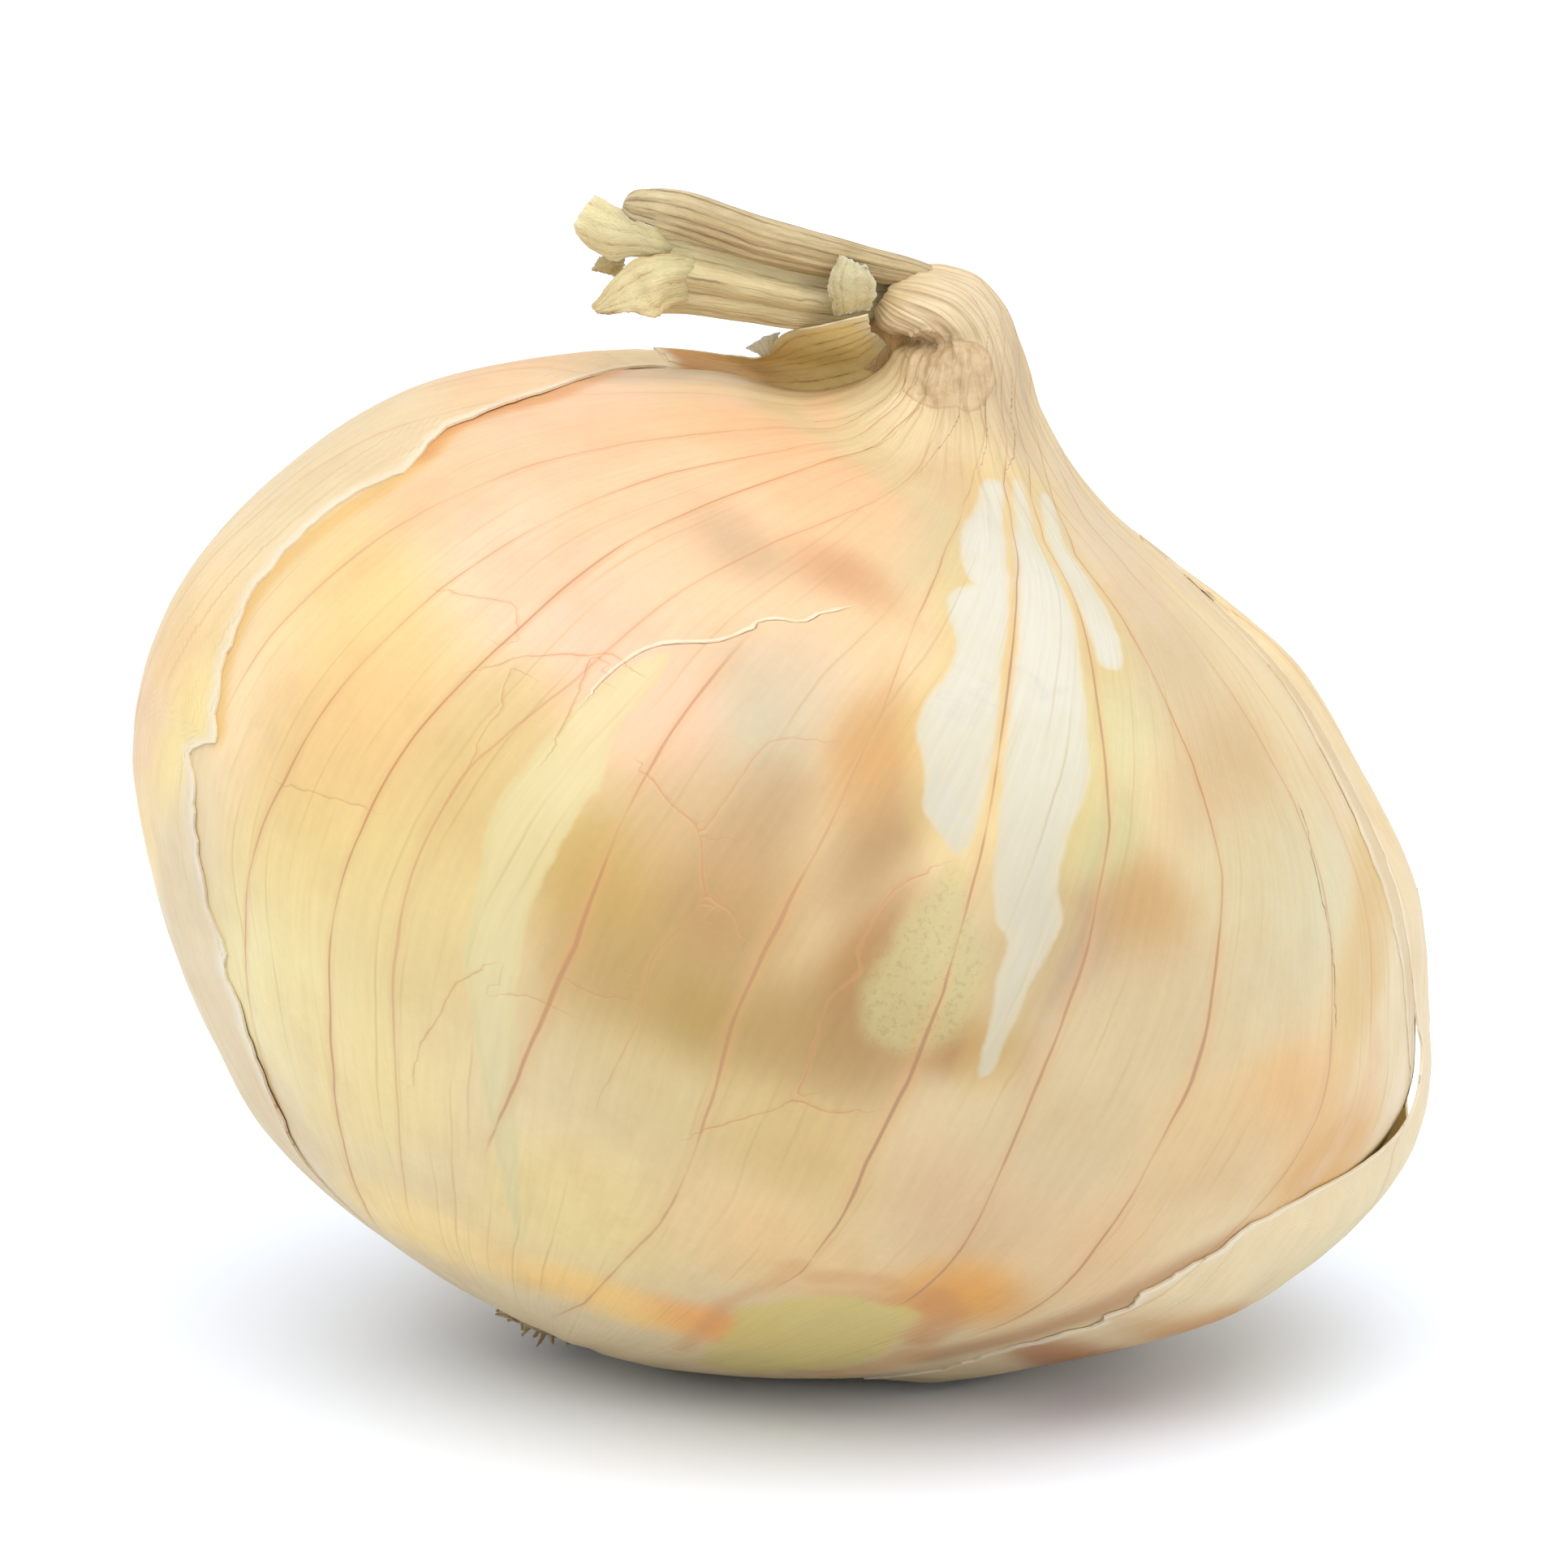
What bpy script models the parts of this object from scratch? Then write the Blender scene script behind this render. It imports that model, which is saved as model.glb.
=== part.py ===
"""A whole yellow onion, lying a little on its side on a table.

The bulb leans, with its root plate low on the left and its neck high on the right. A torn papery outer skin
wraps its back and sides, a dried leaf sheath and a small scrap stand at the neck, and the dried stalk comes
out of the collar and points left. Lengths are in millimetres in the tables, and in metres in the scene.
"""

import math
import random

import bmesh
import bpy
import numpy as np
from mathutils import Matrix, Vector, noise

MM = 0.001

# The lean of the onion's own axis from upright, towards +X, and the point of it that lies on the origin.
LEAN = math.radians(24.3)
SEAT_ACROSS = 14.8
SEAT_ALONG = 4.8
FLAT_DEPTH = 0.45

# Rings of the bulb from the root to the collar's lip, in the plane of its axis. Each one gives the point on
# its left side and the point on its right side, as (across the axis, along the axis).
BULB_RINGS = (
    ((0.0, 0.6), (0.0, 0.6)),
    ((-7.9, 0.6), (7.8, 1.9)),
    ((-16.7, 2.6), (16.7, 5.8)),
    ((-24.4, 5.9), (24.6, 10.5)),
    ((-29.9, 10.2), (30.6, 15.1)),
    ((-34.7, 14.9), (35.8, 19.4)),
    ((-38.6, 19.9), (39.5, 23.5)),
    ((-41.9, 25.2), (41.8, 28.6)),
    ((-43.4, 31.4), (43.0, 33.9)),
    ((-42.7, 38.7), (43.2, 38.8)),
    ((-39.1, 47.2), (41.6, 43.2)),
    ((-33.9, 53.8), (37.9, 49.8)),
    ((-26.6, 58.6), (32.3, 54.8)),
    ((-19.0, 62.2), (24.7, 60.0)),
    ((-12.8, 63.7), (16.2, 63.1)),
    ((-9.9, 65.4), (10.1, 64.9)),
    ((-8.4, 67.2), (6.0, 66.9)),
    ((-8.0, 68.2), (2.6, 69.4)),
    ((-7.9, 69.1), (0.6, 71.6)),
    ((-7.6, 69.8), (-0.9, 73.2)),
    ((-8.1, 69.9), (-2.6, 74.7)),
    ((-8.7, 69.8), (-4.7, 75.6)),
    ((-9.1, 69.6), (-6.9, 75.5)),
    ((-9.3, 69.4), (-8.7, 74.6)),
)
# The collar is hollow behind its lip, where the stalk goes in.
HOLLOW_RINGS = (
    ((-8.9, 69.8), (-8.5, 74.1)),
    ((-6.7, 70.9), (-6.4, 73.9)),
    ((-5.9, 71.7), (-5.6, 73.4)),
    ((-5.7, 72.5), (-5.7, 72.5)),
)
NECK_START = 15.0
CREASE_RING = 19.0
LIP_RING = len(BULB_RINGS) - 1.0
NECK_ROUNDNESS = 1.22
PLEATS = 14
BODY_RIB = 0.0016
NECK_PLEAT = 0.045
CREASE_DEPTH = 0.2
CREASE_SIDE = math.radians(-55)
BULB_SEGMENTS = 56
BULB_ROWS = 42

# The outer skin's torn front opening: ring number and degrees from the front, towards the right and the left.
SKIN_RIGHT_EDGE = (
    (1.0, 66), (2.5, 56), (3.9, 49), (4.5, 46.5), (5.2, 49), (6.2, 47), (6.8, 50), (7.4, 53), (7.9, 62),
    (8.4, 73), (9.0, 80), (9.7, 82), (10.3, 79), (10.9, 76), (11.4, 82), (12.0, 95), (12.7, 109),
    (13.5, 122), (15.6, 134),
)
# How far the skin stands loose at the right side, by ring.
SKIN_LOOSE_RISE = (
    (5.0, 0.0), (6.5, 0.45), (7.5, 1.1), (8.3, 1.4), (9.0, 1.0), (9.8, 0.6), (10.6, 0.35), (11.4, 0.1),
    (12.2, 0.0),
)
SKIN_LEFT_EDGE = (
    (1.0, -70), (3.6, -60), (5.0, -58.5), (6.3, -60), (7.1, -62), (7.6, -64.5), (7.9, -60), (8.6, -66),
    (9.4, -69), (10.5, -67.5), (11.0, -73.5), (11.8, -78), (12.2, -88), (12.5, -102),
    (12.8, -122), (13.1, -142), (13.5, -160), (14.0, -174), (14.6, -186), (15.6, -190),
)
SKIN_GAP = 0.35
SKIN_THICK = 0.6
SKIN_COLUMNS = 34
SKIN_ROWS = 36
SKIN_LOW_RING = 1.35
SKIN_TOP_RING = 14.2
SKIN_TEAR = 2.2
SKIN_FLOOR_GAP = 1.3
SKIN_RAISED = 0.4
SKIN_TOP_RISE = 0.35
SKIN_LOOSE_TURN = math.radians(92)
SKIN_LOOSE_WIDTH = math.radians(26)
# The slit in the skin's right side: its grid faces, and how its two sides close to a tip at either end.
SLIT_TIP = math.radians(5)
SLIT_TIP_ROWS = 1.8
SLIT_COLUMNS = (2, 3)
SLIT_ROWS = range(16, 24)

# The dried stalk: centre (across, along, back) and half height, from inside the collar to its torn end.
STALK_STATIONS = (
    (-6.6, 72.3, 0.1, 0.9),
    (-7.9, 72.1, 0.1, 1.4),
    (-9.2, 72.0, 0.1, 1.95),
    (-10.3, 72.1, 0.1, 2.65),
    (-12.3, 71.4, 0.0, 2.95),
    (-14.8, 70.6, -0.2, 3.1),
    (-18.2, 69.9, -0.4, 3.3),
    (-21.9, 69.2, -0.6, 3.6),
    (-25.0, 68.4, -0.8, 3.95),
    (-27.0, 67.8, -0.9, 3.8),
)
STALK_SEGMENTS = 30
STALK_ROWS = 26
STALK_DEPTH_RATIO = 0.86
STALK_GROOVES = 7
STALK_GROOVE_DEPTH = 0.075
STALK_FOLD = 0.26
STALK_WALL = 0.65
STALK_HOLLOW = 4.5
STALK_OUTSIDE = 0.8
# The stalk's torn end: degrees from its top round the front, reach beyond its last station and flare.
TORN_RIM = (
    (0, -0.8, 0.0), (24, -0.4, 0.02), (36, 2.0, 0.02), (70, 3.3, 0.0), (100, 1.6, 0.0),
    (118, -0.2, 0.02), (150, 2.0, 0.12), (170, 1.2, 0.16), (190, -1.2, 0.2), (230, 0.4, 0.1),
    (270, 1.8, 0.05), (310, 0.2, 0.0), (340, -1.0, 0.0), (360, -0.8, 0.0),
)

# The dried leaf sheath at the back left of the neck: rows of points from its foot to its torn top edge.
SHEATH_CAGE = (
    ((-16.8, 63.7, 9.7), (-14.9, 63.8, 10.2), (-12.3, 64.2, 10.2), (-9.5, 65.5, 9.4), (-6.0, 67.2, 8.0)),
    ((-18.0, 63.5, 7.9), (-16.0, 63.7, 8.3), (-13.4, 64.5, 8.1), (-10.8, 66.4, 7.3), (-6.8, 68.7, 6.6)),
    ((-19.3, 63.2, 6.6), (-17.0, 63.5, 7.0), (-14.5, 64.6, 6.6), (-12.2, 67.1, 5.8), (-8.2, 70.0, 5.4)),
    ((-20.0, 62.9, 5.6), (-17.6, 63.5, 5.9), (-15.2, 64.6, 5.4), (-13.3, 67.9, 4.7), (-9.9, 70.8, 4.8)),
)
# The small torn scrap that stands up in front of the stalk's foot.
SCRAP_CAGE = (
    ((-11.6, 70.15, -1.45), (-10.9, 69.75, -1.5), (-10.3, 69.85, -1.3)),
    ((-12.3, 70.4, -3.2), (-11.4, 70.0, -3.7), (-10.4, 70.2, -3.2)),
    ((-13.3, 72.3, -3.6), (-12.2, 72.2, -4.5), (-11.0, 72.0, -4.0)),
    ((-13.5, 74.3, -3.3), (-12.6, 73.7, -4.1), (-11.5, 73.9, -3.9)),
)
BLADE_THICK = 0.62

ROOT_ACROSS = -2.4
ROOT_ALONG = -0.15
ROOT_PLATE_RADIUS = 2.7
ROOT_PLATE_HEIGHT = 0.8
ROOTLETS = 24
ROOTLET_RADIUS = 0.4
ROOTLET_LENGTH = (0.9, 1.8)
FLOOR_CLEARANCE = 0.5


def interpolate(stations, at):
    """Values at a fractional station number, on a smooth curve through the stations."""
    table = np.array(stations, float).reshape(len(stations), -1)
    i = int(min(max(math.floor(at), 0), len(table) - 2))
    t = at - i
    before, here, there, after = (table[min(max(k, 0), len(table) - 1)] for k in (i - 1, i, i + 1, i + 2))
    rise = (there - before) / 2
    fall = (after - here) / 2
    return (
        (2 * t**3 - 3 * t**2 + 1) * here
        + (t**3 - 2 * t**2 + t) * rise
        + (3 * t**2 - 2 * t**3) * there
        + (t**3 - t**2) * fall
    )


def edge_at(edge, ring):
    """Degrees of a torn edge at a ring number, in straight runs between its named points."""
    return float(np.interp(ring, [p[0] for p in edge], [p[1] for p in edge]))


def ease(low, high, value):
    """0 below low, 1 above high and smooth between."""
    t = min(max((value - low) / (high - low), 0.0), 1.0)
    return t * t * (3 - 2 * t)


def to_world(across, along, back):
    """A point of the onion's own frame, in millimetres, as a point of the scene in metres."""
    across -= SEAT_ACROSS
    along -= SEAT_ALONG
    return Vector((
        across * math.cos(LEAN) + along * math.sin(LEAN),
        back,
        along * math.cos(LEAN) - across * math.sin(LEAN),
    )) * MM


def bulb_point(ring, turn):
    """A point of the bulb, in its own frame. Turn is 0 at the front and a quarter turn at the right."""
    rings = BULB_RINGS + HOLLOW_RINGS
    left_across, left_along, right_across, right_along = interpolate(rings, ring)
    neck = ease(NECK_START - 1, NECK_START + 2, ring)
    inside = ease(LIP_RING, LIP_RING + 1, ring)
    pleat = BODY_RIB * ease(1, 4, ring) + (NECK_PLEAT - BODY_RIB) * neck * (1 - inside)
    swell = 1 + pleat * math.cos(PLEATS * turn + 0.8 * math.sin(3 * turn))
    crease = math.exp(-(((ring - CREASE_RING) / 0.7) ** 2)) * max(0.0, math.cos(turn - CREASE_SIDE)) ** 2
    swell -= CREASE_DEPTH * crease
    half_across = (right_across - left_across) / 2
    half_along = (right_along - left_along) / 2
    depth = math.hypot(half_across, half_along) * (1 + (NECK_ROUNDNESS - 1) * neck)
    return Vector((
        (left_across + right_across) / 2 + half_across * swell * math.sin(turn),
        (left_along + right_along) / 2 + half_along * swell * math.sin(turn),
        -depth * swell * math.cos(turn),
    ))


def bulb_normal(ring, turn):
    """The direction straight out of the bulb at a ring and turn."""
    step = 0.02
    along_ring = bulb_point(ring, turn + step) - bulb_point(ring, turn - step)
    up_profile = bulb_point(ring + step, turn) - bulb_point(ring - step, turn)
    return up_profile.cross(along_ring).normalized()


def face_outwards(bm):
    """Turns every face of a closed body to look out of it."""
    bmesh.ops.recalc_face_normals(bm, faces=bm.faces)
    if bm.calc_volume(signed=True) < 0:
        bmesh.ops.reverse_faces(bm, faces=bm.faces)


def new_collection(name):
    """A collection in the scene, for the onion's nodes or for pieces that are fused into one of them."""
    collection = bpy.data.collections.new(name)
    bpy.context.scene.collection.children.link(collection)
    return collection


def new_object(name, bm, material, collection):
    """Links a finished bmesh to a collection as a smooth named object with its material."""
    mesh = bpy.data.meshes.new(name)
    bm.to_mesh(mesh)
    bm.free()
    mesh.materials.append(material)
    mesh.shade_smooth()
    obj = bpy.data.objects.new(name, mesh)
    collection.objects.link(obj)
    return obj


def fuse(body, pieces):
    """Joins the bodies of a collection to one body, then removes them and the collection."""
    join = body.modifiers.new("join", "BOOLEAN")
    join.operation = "UNION"
    join.operand_type = "COLLECTION"
    join.collection = pieces
    join.solver = "EXACT"
    graph = bpy.context.evaluated_depsgraph_get()
    body.data = bpy.data.meshes.new_from_object(body.evaluated_get(graph))
    body.modifiers.clear()
    for piece in list(pieces.objects):
        bpy.data.objects.remove(piece)
    bpy.data.collections.remove(pieces)


def new_material(name, colour, roughness):
    """A Principled material with a plain colour."""
    material = bpy.data.materials.new(name)
    material.use_nodes = True
    shader = material.node_tree.nodes["Principled BSDF"]
    shader.inputs["Base Color"].default_value = (*colour, 1.0)
    shader.inputs["Roughness"].default_value = roughness
    shader.inputs["Metallic"].default_value = 0.0
    return material


def sphere_places(bm):
    """Each vertex of a unit sphere with its share of the way from the south pole to the north, and its turn."""
    for vertex in bm.verts:
        share = math.acos(min(max(-vertex.co.z, -1.0), 1.0)) / math.pi
        yield vertex, share, math.atan2(vertex.co.x, -vertex.co.y)


def build_bulb(material, onion):
    """The bulb with its neck and collar, from a sphere whose rows are laid on the rings."""
    bm = bmesh.new()
    bmesh.ops.create_uvsphere(bm, u_segments=BULB_SEGMENTS, v_segments=BULB_ROWS, radius=1)
    last_ring = len(BULB_RINGS) + len(HOLLOW_RINGS) - 1
    for vertex, share, turn in sphere_places(bm):
        vertex.co = to_world(*bulb_point(share * last_ring, turn)) - Vector((0, 0, FLAT_DEPTH * MM))
    cut = bmesh.ops.bisect_plane(
        bm,
        geom=[*bm.verts, *bm.edges, *bm.faces],
        dist=1e-6,
        plane_co=(0, 0, 0),
        plane_no=(0, 0, -1),
        clear_outer=True,
    )
    rim = [part for part in cut["geom_cut"] if isinstance(part, bmesh.types.BMEdge)]
    bmesh.ops.holes_fill(bm, edges=rim)
    face_outwards(bm)
    new_object("bulb", bm, material, onion)


def skin_turn(ring, side):
    """The turn of a point of the outer skin: side runs from 0 at its right edge round the back to 1 at its left."""
    right = edge_at(SKIN_RIGHT_EDGE, ring)
    left = edge_at(SKIN_LEFT_EDGE, ring) + 360
    return math.radians(right + (left - right) * side)


def skin_foot(side):
    """The ring where the outer skin starts, which is high enough to keep the skin off the table."""
    ring = SKIN_LOW_RING
    while (to_world(*bulb_point(ring, skin_turn(ring, side))) / MM).z < FLAT_DEPTH + SKIN_FLOOR_GAP:
        ring += 0.05
    return ring


def skin_place(column, row):
    """Ring, turn and lift above the bulb of a grid point of the outer skin."""
    side = column / SKIN_COLUMNS
    share = row / SKIN_ROWS
    ragged = noise.noise(Vector((skin_turn(SKIN_TOP_RING, side) * 2.6, 4.2, 0.3)))
    low = skin_foot(side)
    top = SKIN_TOP_RING + 0.4 * ragged
    ring = low + (top - low) * share
    turn = skin_turn(ring, side)
    edge = max(ease(0.07, 0.0, side), ease(0.93, 1.0, side))
    turn += math.radians(SKIN_TEAR) * edge * noise.noise(Vector((share * 31, side * 9, 0.5)))
    ends = (SLIT_ROWS[0], SLIT_ROWS[-1] + 1)
    closing = SLIT_TIP * sum(math.exp(-(((row - end) / SLIT_TIP_ROWS) ** 2)) for end in ends)
    if column == SLIT_COLUMNS[0]:
        turn += closing
    if column == SLIT_COLUMNS[-1] + 1:
        turn -= closing
    loose = edge_at(SKIN_LOOSE_RISE, ring) * math.exp(-(((turn - SKIN_LOOSE_TURN) / SKIN_LOOSE_WIDTH) ** 2))
    raised = SKIN_RAISED * ease(11.0, 12.6, ring) * ease(0.55, 0.8, side)
    top_rise = SKIN_TOP_RISE * ease(12.2, 13.4, ring)
    return ring, turn, SKIN_GAP + loose + raised + top_rise


def build_outer_skin(material, onion):
    """The papery outer skin as an open sheet round the back, thickened outwards, with its slit on the right."""
    bm = bmesh.new()
    bmesh.ops.create_grid(bm, x_segments=SKIN_COLUMNS, y_segments=SKIN_ROWS, size=1)
    for vertex in bm.verts:
        column = round((vertex.co.x + 1) / 2 * SKIN_COLUMNS)
        row = round((vertex.co.y + 1) / 2 * SKIN_ROWS)
        ring, turn, lift = skin_place(column, row)
        point = to_world(*(bulb_point(ring, turn) + bulb_normal(ring, turn) * lift))
        vertex.co = point - Vector((0, 0, FLAT_DEPTH * MM))
    bm.faces.ensure_lookup_table()
    slit = [bm.faces[row * SKIN_COLUMNS + column] for row in SLIT_ROWS for column in SLIT_COLUMNS]
    bmesh.ops.delete(bm, geom=slit, context="FACES")
    skin = new_object("outer_skin", bm, material, onion)
    thicken(skin, SKIN_THICK)


def thicken(sheet, thickness):
    """Gives an open sheet its thickness, on the side that its faces look to."""
    wall = sheet.modifiers.new("wall", "SOLIDIFY")
    wall.thickness = thickness * MM
    wall.offset = 1.0


def stalk_point(station, turn):
    """A point of the stalk's outside with the centre and the run of the stalk there, in the onion's frame.

    Turn is 0 on top of the stalk and a quarter turn in front.
    """
    *centre, half = interpolate(STALK_STATIONS, station)
    centre = Vector(centre)
    ahead = Vector(interpolate(STALK_STATIONS, station + 0.1)[:3])
    behind = Vector(interpolate(STALK_STATIONS, station - 0.1)[:3])
    run = (ahead - behind).normalized()
    outward = Vector((0, 0, -1))
    upward = outward.cross(run).normalized()
    free = ease(2.5, 5, station)
    groove = STALK_GROOVE_DEPTH * free * math.cos(STALK_GROOVES * turn)
    fold = STALK_FOLD * free * math.exp(-(((turn - 1.45) / 0.3) ** 2))
    radius = float(half) * (1 + groove - fold)
    spoke = upward * math.cos(turn) + outward * STALK_DEPTH_RATIO * math.sin(turn)
    return centre + spoke * radius, centre, run


def build_stalk(material, onion):
    """The dried stalk: a grooved, folded tube from inside the collar to a hollow, torn and flared end."""
    bm = bmesh.new()
    bmesh.ops.create_uvsphere(bm, u_segments=STALK_SEGMENTS, v_segments=STALK_ROWS, radius=1)
    last = len(STALK_STATIONS) - 1.0
    for vertex, share, angle in sphere_places(bm):
        turn = angle % (2 * math.pi)
        station = last * min(share / STALK_OUTSIDE, 1.0)
        deep = max(share - STALK_OUTSIDE, 0.0) / (1 - STALK_OUTSIDE)
        point, centre, run = stalk_point(station, turn)
        spoke = point - centre
        torn = ease(last - 1.6, last, station) * (1 - deep)
        reach = np.interp(math.degrees(turn), [p[0] for p in TORN_RIM], [p[1] for p in TORN_RIM])
        flare = np.interp(math.degrees(turn), [p[0] for p in TORN_RIM], [p[2] for p in TORN_RIM])
        if deep > 0:
            spoke *= 1 - STALK_WALL / spoke.length
        pole = min(share * STALK_ROWS, (1 - share) * STALK_ROWS, 1.0)
        spoke *= pole * (1 + float(flare) * torn)
        place = centre + spoke + run * (float(reach) * torn - STALK_HOLLOW * deep)
        vertex.co = to_world(*place) - Vector((0, 0, FLAT_DEPTH * MM))
    face_outwards(bm)
    bmesh.ops.triangulate(bm, faces=bm.faces)
    stalk = new_object("stalk", bm, material, onion)
    pieces = new_collection("stalk_pieces")
    build_blade("scrap", SCRAP_CAGE, material, pieces)
    fuse(stalk, pieces)


def build_blade(name, cage, material, collection):
    """A thin curved leaf from a coarse cage of points, smoothed and given its thickness."""
    rows, columns = len(cage), len(cage[0])
    bm = bmesh.new()
    bmesh.ops.create_grid(bm, x_segments=columns - 1, y_segments=rows - 1, size=1)
    for vertex in bm.verts:
        column = round((vertex.co.x + 1) / 2 * (columns - 1))
        row = round((vertex.co.y + 1) / 2 * (rows - 1))
        vertex.co = to_world(*cage[row][column]) - Vector((0, 0, FLAT_DEPTH * MM))
    blade = new_object(name, bm, material, collection)
    smooth = blade.modifiers.new("smooth", "SUBSURF")
    smooth.levels = 2
    smooth.render_levels = 2
    thicken(blade, BLADE_THICK)


def build_roots(material, onion):
    """The root plate with its dried rootlets, fused into one body under the bulb."""
    lean = Matrix.Rotation(LEAN, 4, "Y")
    foot = to_world(ROOT_ACROSS, ROOT_ALONG, 0) - Vector((0, 0, FLAT_DEPTH * MM))
    bm = bmesh.new()
    bmesh.ops.create_uvsphere(bm, u_segments=18, v_segments=8, radius=ROOT_PLATE_RADIUS * MM)
    bmesh.ops.scale(bm, vec=(1, 1, ROOT_PLATE_HEIGHT * 0.5 / ROOT_PLATE_RADIUS), verts=bm.verts)
    bmesh.ops.transform(bm, matrix=Matrix.Translation(foot) @ lean, verts=bm.verts)
    roots = new_object("roots", bm, material, onion)
    pieces = new_collection("rootlets")
    draw = random.Random(11)
    for number in range(ROOTLETS):
        turn = number * math.pi * (3 - math.sqrt(5))
        reach = ROOT_PLATE_RADIUS * 0.9 * math.sqrt((number + 0.5) / ROOTLETS)
        start = lean @ Vector((reach * math.cos(turn), reach * math.sin(turn), 0)) * MM
        length = draw.uniform(*ROOTLET_LENGTH) * MM
        spread = math.radians(draw.uniform(52, 74))
        aim = Vector((math.cos(turn) * math.sin(spread), math.sin(turn) * math.sin(spread), -math.cos(spread)))
        run = lean @ aim
        if (foot + start + run * length).z < (FLOOR_CLEARANCE + ROOTLET_RADIUS) * MM:
            continue
        rootlet = bmesh.new()
        bmesh.ops.create_cone(
            rootlet,
            cap_ends=True,
            segments=5,
            depth=length,
            radius1=ROOTLET_RADIUS * MM,
            radius2=ROOTLET_RADIUS * 0.5 * MM,
        )
        turned = run.to_track_quat("Z", "Y").to_matrix().to_4x4()
        place = Matrix.Translation(foot + start + run * length * 0.5) @ turned
        bmesh.ops.transform(rootlet, matrix=place, verts=rootlet.verts)
        new_object(f"rootlet_{number}", rootlet, material, pieces)
    fuse(roots, pieces)


def main():
    """Clears the scene and builds the onion."""
    for obj in list(bpy.data.objects):
        bpy.data.objects.remove(obj)
    onion = new_collection("onion")
    golden = new_material("golden_skin", (0.86, 0.66, 0.38), 0.42)
    papery = new_material("papery_skin", (0.88, 0.72, 0.47), 0.5)
    straw = new_material("dry_straw", (0.74, 0.65, 0.40), 0.6)
    brown = new_material("dry_root", (0.45, 0.32, 0.19), 0.85)
    build_bulb(golden, onion)
    build_outer_skin(papery, onion)
    build_stalk(straw, onion)
    build_blade("neck_sheath", SHEATH_CAGE, straw, onion)
    build_roots(brown, onion)


main()
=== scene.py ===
"""A whole yellow onion, dressed in fine meshes and procedural finishes over its plain solids.

The bulb's surface is a stack of rings, and every skin, tear and vein is placed by its ring number and by its
turn round the onion's own axis, in degrees from the front, positive towards the right. Sizes in the tables are
in millimetres, and meshes are in metres.
"""

import logging
import math
from collections.abc import Sequence
from dataclasses import dataclass, field
from enum import Enum
from typing import Any

import bmesh
import bpy
import numpy as np
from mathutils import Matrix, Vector, noise


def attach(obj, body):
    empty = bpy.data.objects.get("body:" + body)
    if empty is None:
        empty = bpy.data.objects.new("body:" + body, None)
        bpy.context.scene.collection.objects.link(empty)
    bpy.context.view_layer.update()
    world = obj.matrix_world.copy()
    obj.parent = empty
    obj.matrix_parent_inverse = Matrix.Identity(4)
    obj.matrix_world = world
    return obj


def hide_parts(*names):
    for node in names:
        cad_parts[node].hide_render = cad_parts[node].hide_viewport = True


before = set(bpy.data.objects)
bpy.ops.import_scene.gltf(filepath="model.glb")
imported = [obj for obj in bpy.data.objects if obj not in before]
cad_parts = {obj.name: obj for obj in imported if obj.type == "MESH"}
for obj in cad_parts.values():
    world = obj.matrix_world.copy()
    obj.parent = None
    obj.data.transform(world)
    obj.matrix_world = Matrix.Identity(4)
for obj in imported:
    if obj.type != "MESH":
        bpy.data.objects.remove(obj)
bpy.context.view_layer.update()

LOG = logging.getLogger("onion")
MM = 0.001
SEEN_SHARE = 0.72  # how much of a screen's light a surface gives back to look the same in this studio
GRAIN_RINGS = 23  # rings that make one whole length of the skins' grain map
FAR = 99.0  # millimetres, further than any mark reaches
OUTWARD = np.array([0.0, 0.0, -1.0])  # towards the front, in the onion's own frame
Places = Sequence[tuple[float, float]]
Tone = tuple[int, int, int]
Socket = bpy.types.NodeSocket


# Small helpers for numbers


def srgb(red: int, green: int, blue: int) -> tuple[float, float, float]:
    """The colour of a surface that looks like a screen's colour, from 0 to 255, under the studio's light."""
    parts = [value / 255 for value in (red, green, blue)]
    return tuple(SEEN_SHARE * (p / 12.92 if p <= 0.04045 else ((p + 0.055) / 1.055) ** 2.4) for p in parts)


def ease(low: float, high: float, value: Any) -> Any:
    """0 at low, 1 at high and smooth between, for a number or an array."""
    t = np.clip((np.asarray(value, float) - low) / (high - low), 0.0, 1.0)
    return t * t * (3 - 2 * t)


def shades(tone: Tone) -> np.ndarray:
    """A screen's colour as an array in linear light."""
    return np.array(srgb(*tone))


def mixed(first: np.ndarray, second: np.ndarray, share: np.ndarray) -> np.ndarray:
    """The first colour turned into the second one by a share at each point."""
    return first + (second - first) * share[..., None]


def unit(vectors: np.ndarray) -> np.ndarray:
    """The same directions at a length of 1."""
    return vectors / np.maximum(np.linalg.norm(vectors, axis=-1, keepdims=True), 1e-9)


def ripple(*axes: Any) -> np.ndarray:
    """Smooth noise from about -0.7 to 0.7.

    Args:
        axes: Three arrays or numbers of one shape, the place in the noise.

    Returns:
        An array of the same shape.
    """
    spread = np.broadcast_arrays(*axes)
    flat = np.stack([np.ravel(a).astype(float) for a in spread], axis=1)
    return np.array([noise.noise(Vector(p)) for p in flat]).reshape(spread[0].shape)


def hermite(table: np.ndarray, at: np.ndarray) -> np.ndarray:
    """Rows of a table at fractional row numbers, on a smooth curve through the rows.

    Args:
        table: Stations by values.
        at: Fractional station numbers, of any shape.

    Returns:
        An array of the shape of at, with the values last.
    """
    last = len(table) - 1
    i = np.clip(np.floor(at).astype(int), 0, last - 1)
    t = (at - i)[..., None]
    before, here, there, after = (table[np.clip(i + k, 0, last)] for k in (-1, 0, 1, 2))
    rise, fall = (there - before) / 2, (after - here) / 2
    curve = (2 * t**3 - 3 * t**2 + 1) * here + (t**3 - 2 * t**2 + t) * rise
    return curve + (3 * t**2 - 2 * t**3) * there + (t**3 - t**2) * fall


# The onion's form


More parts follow.
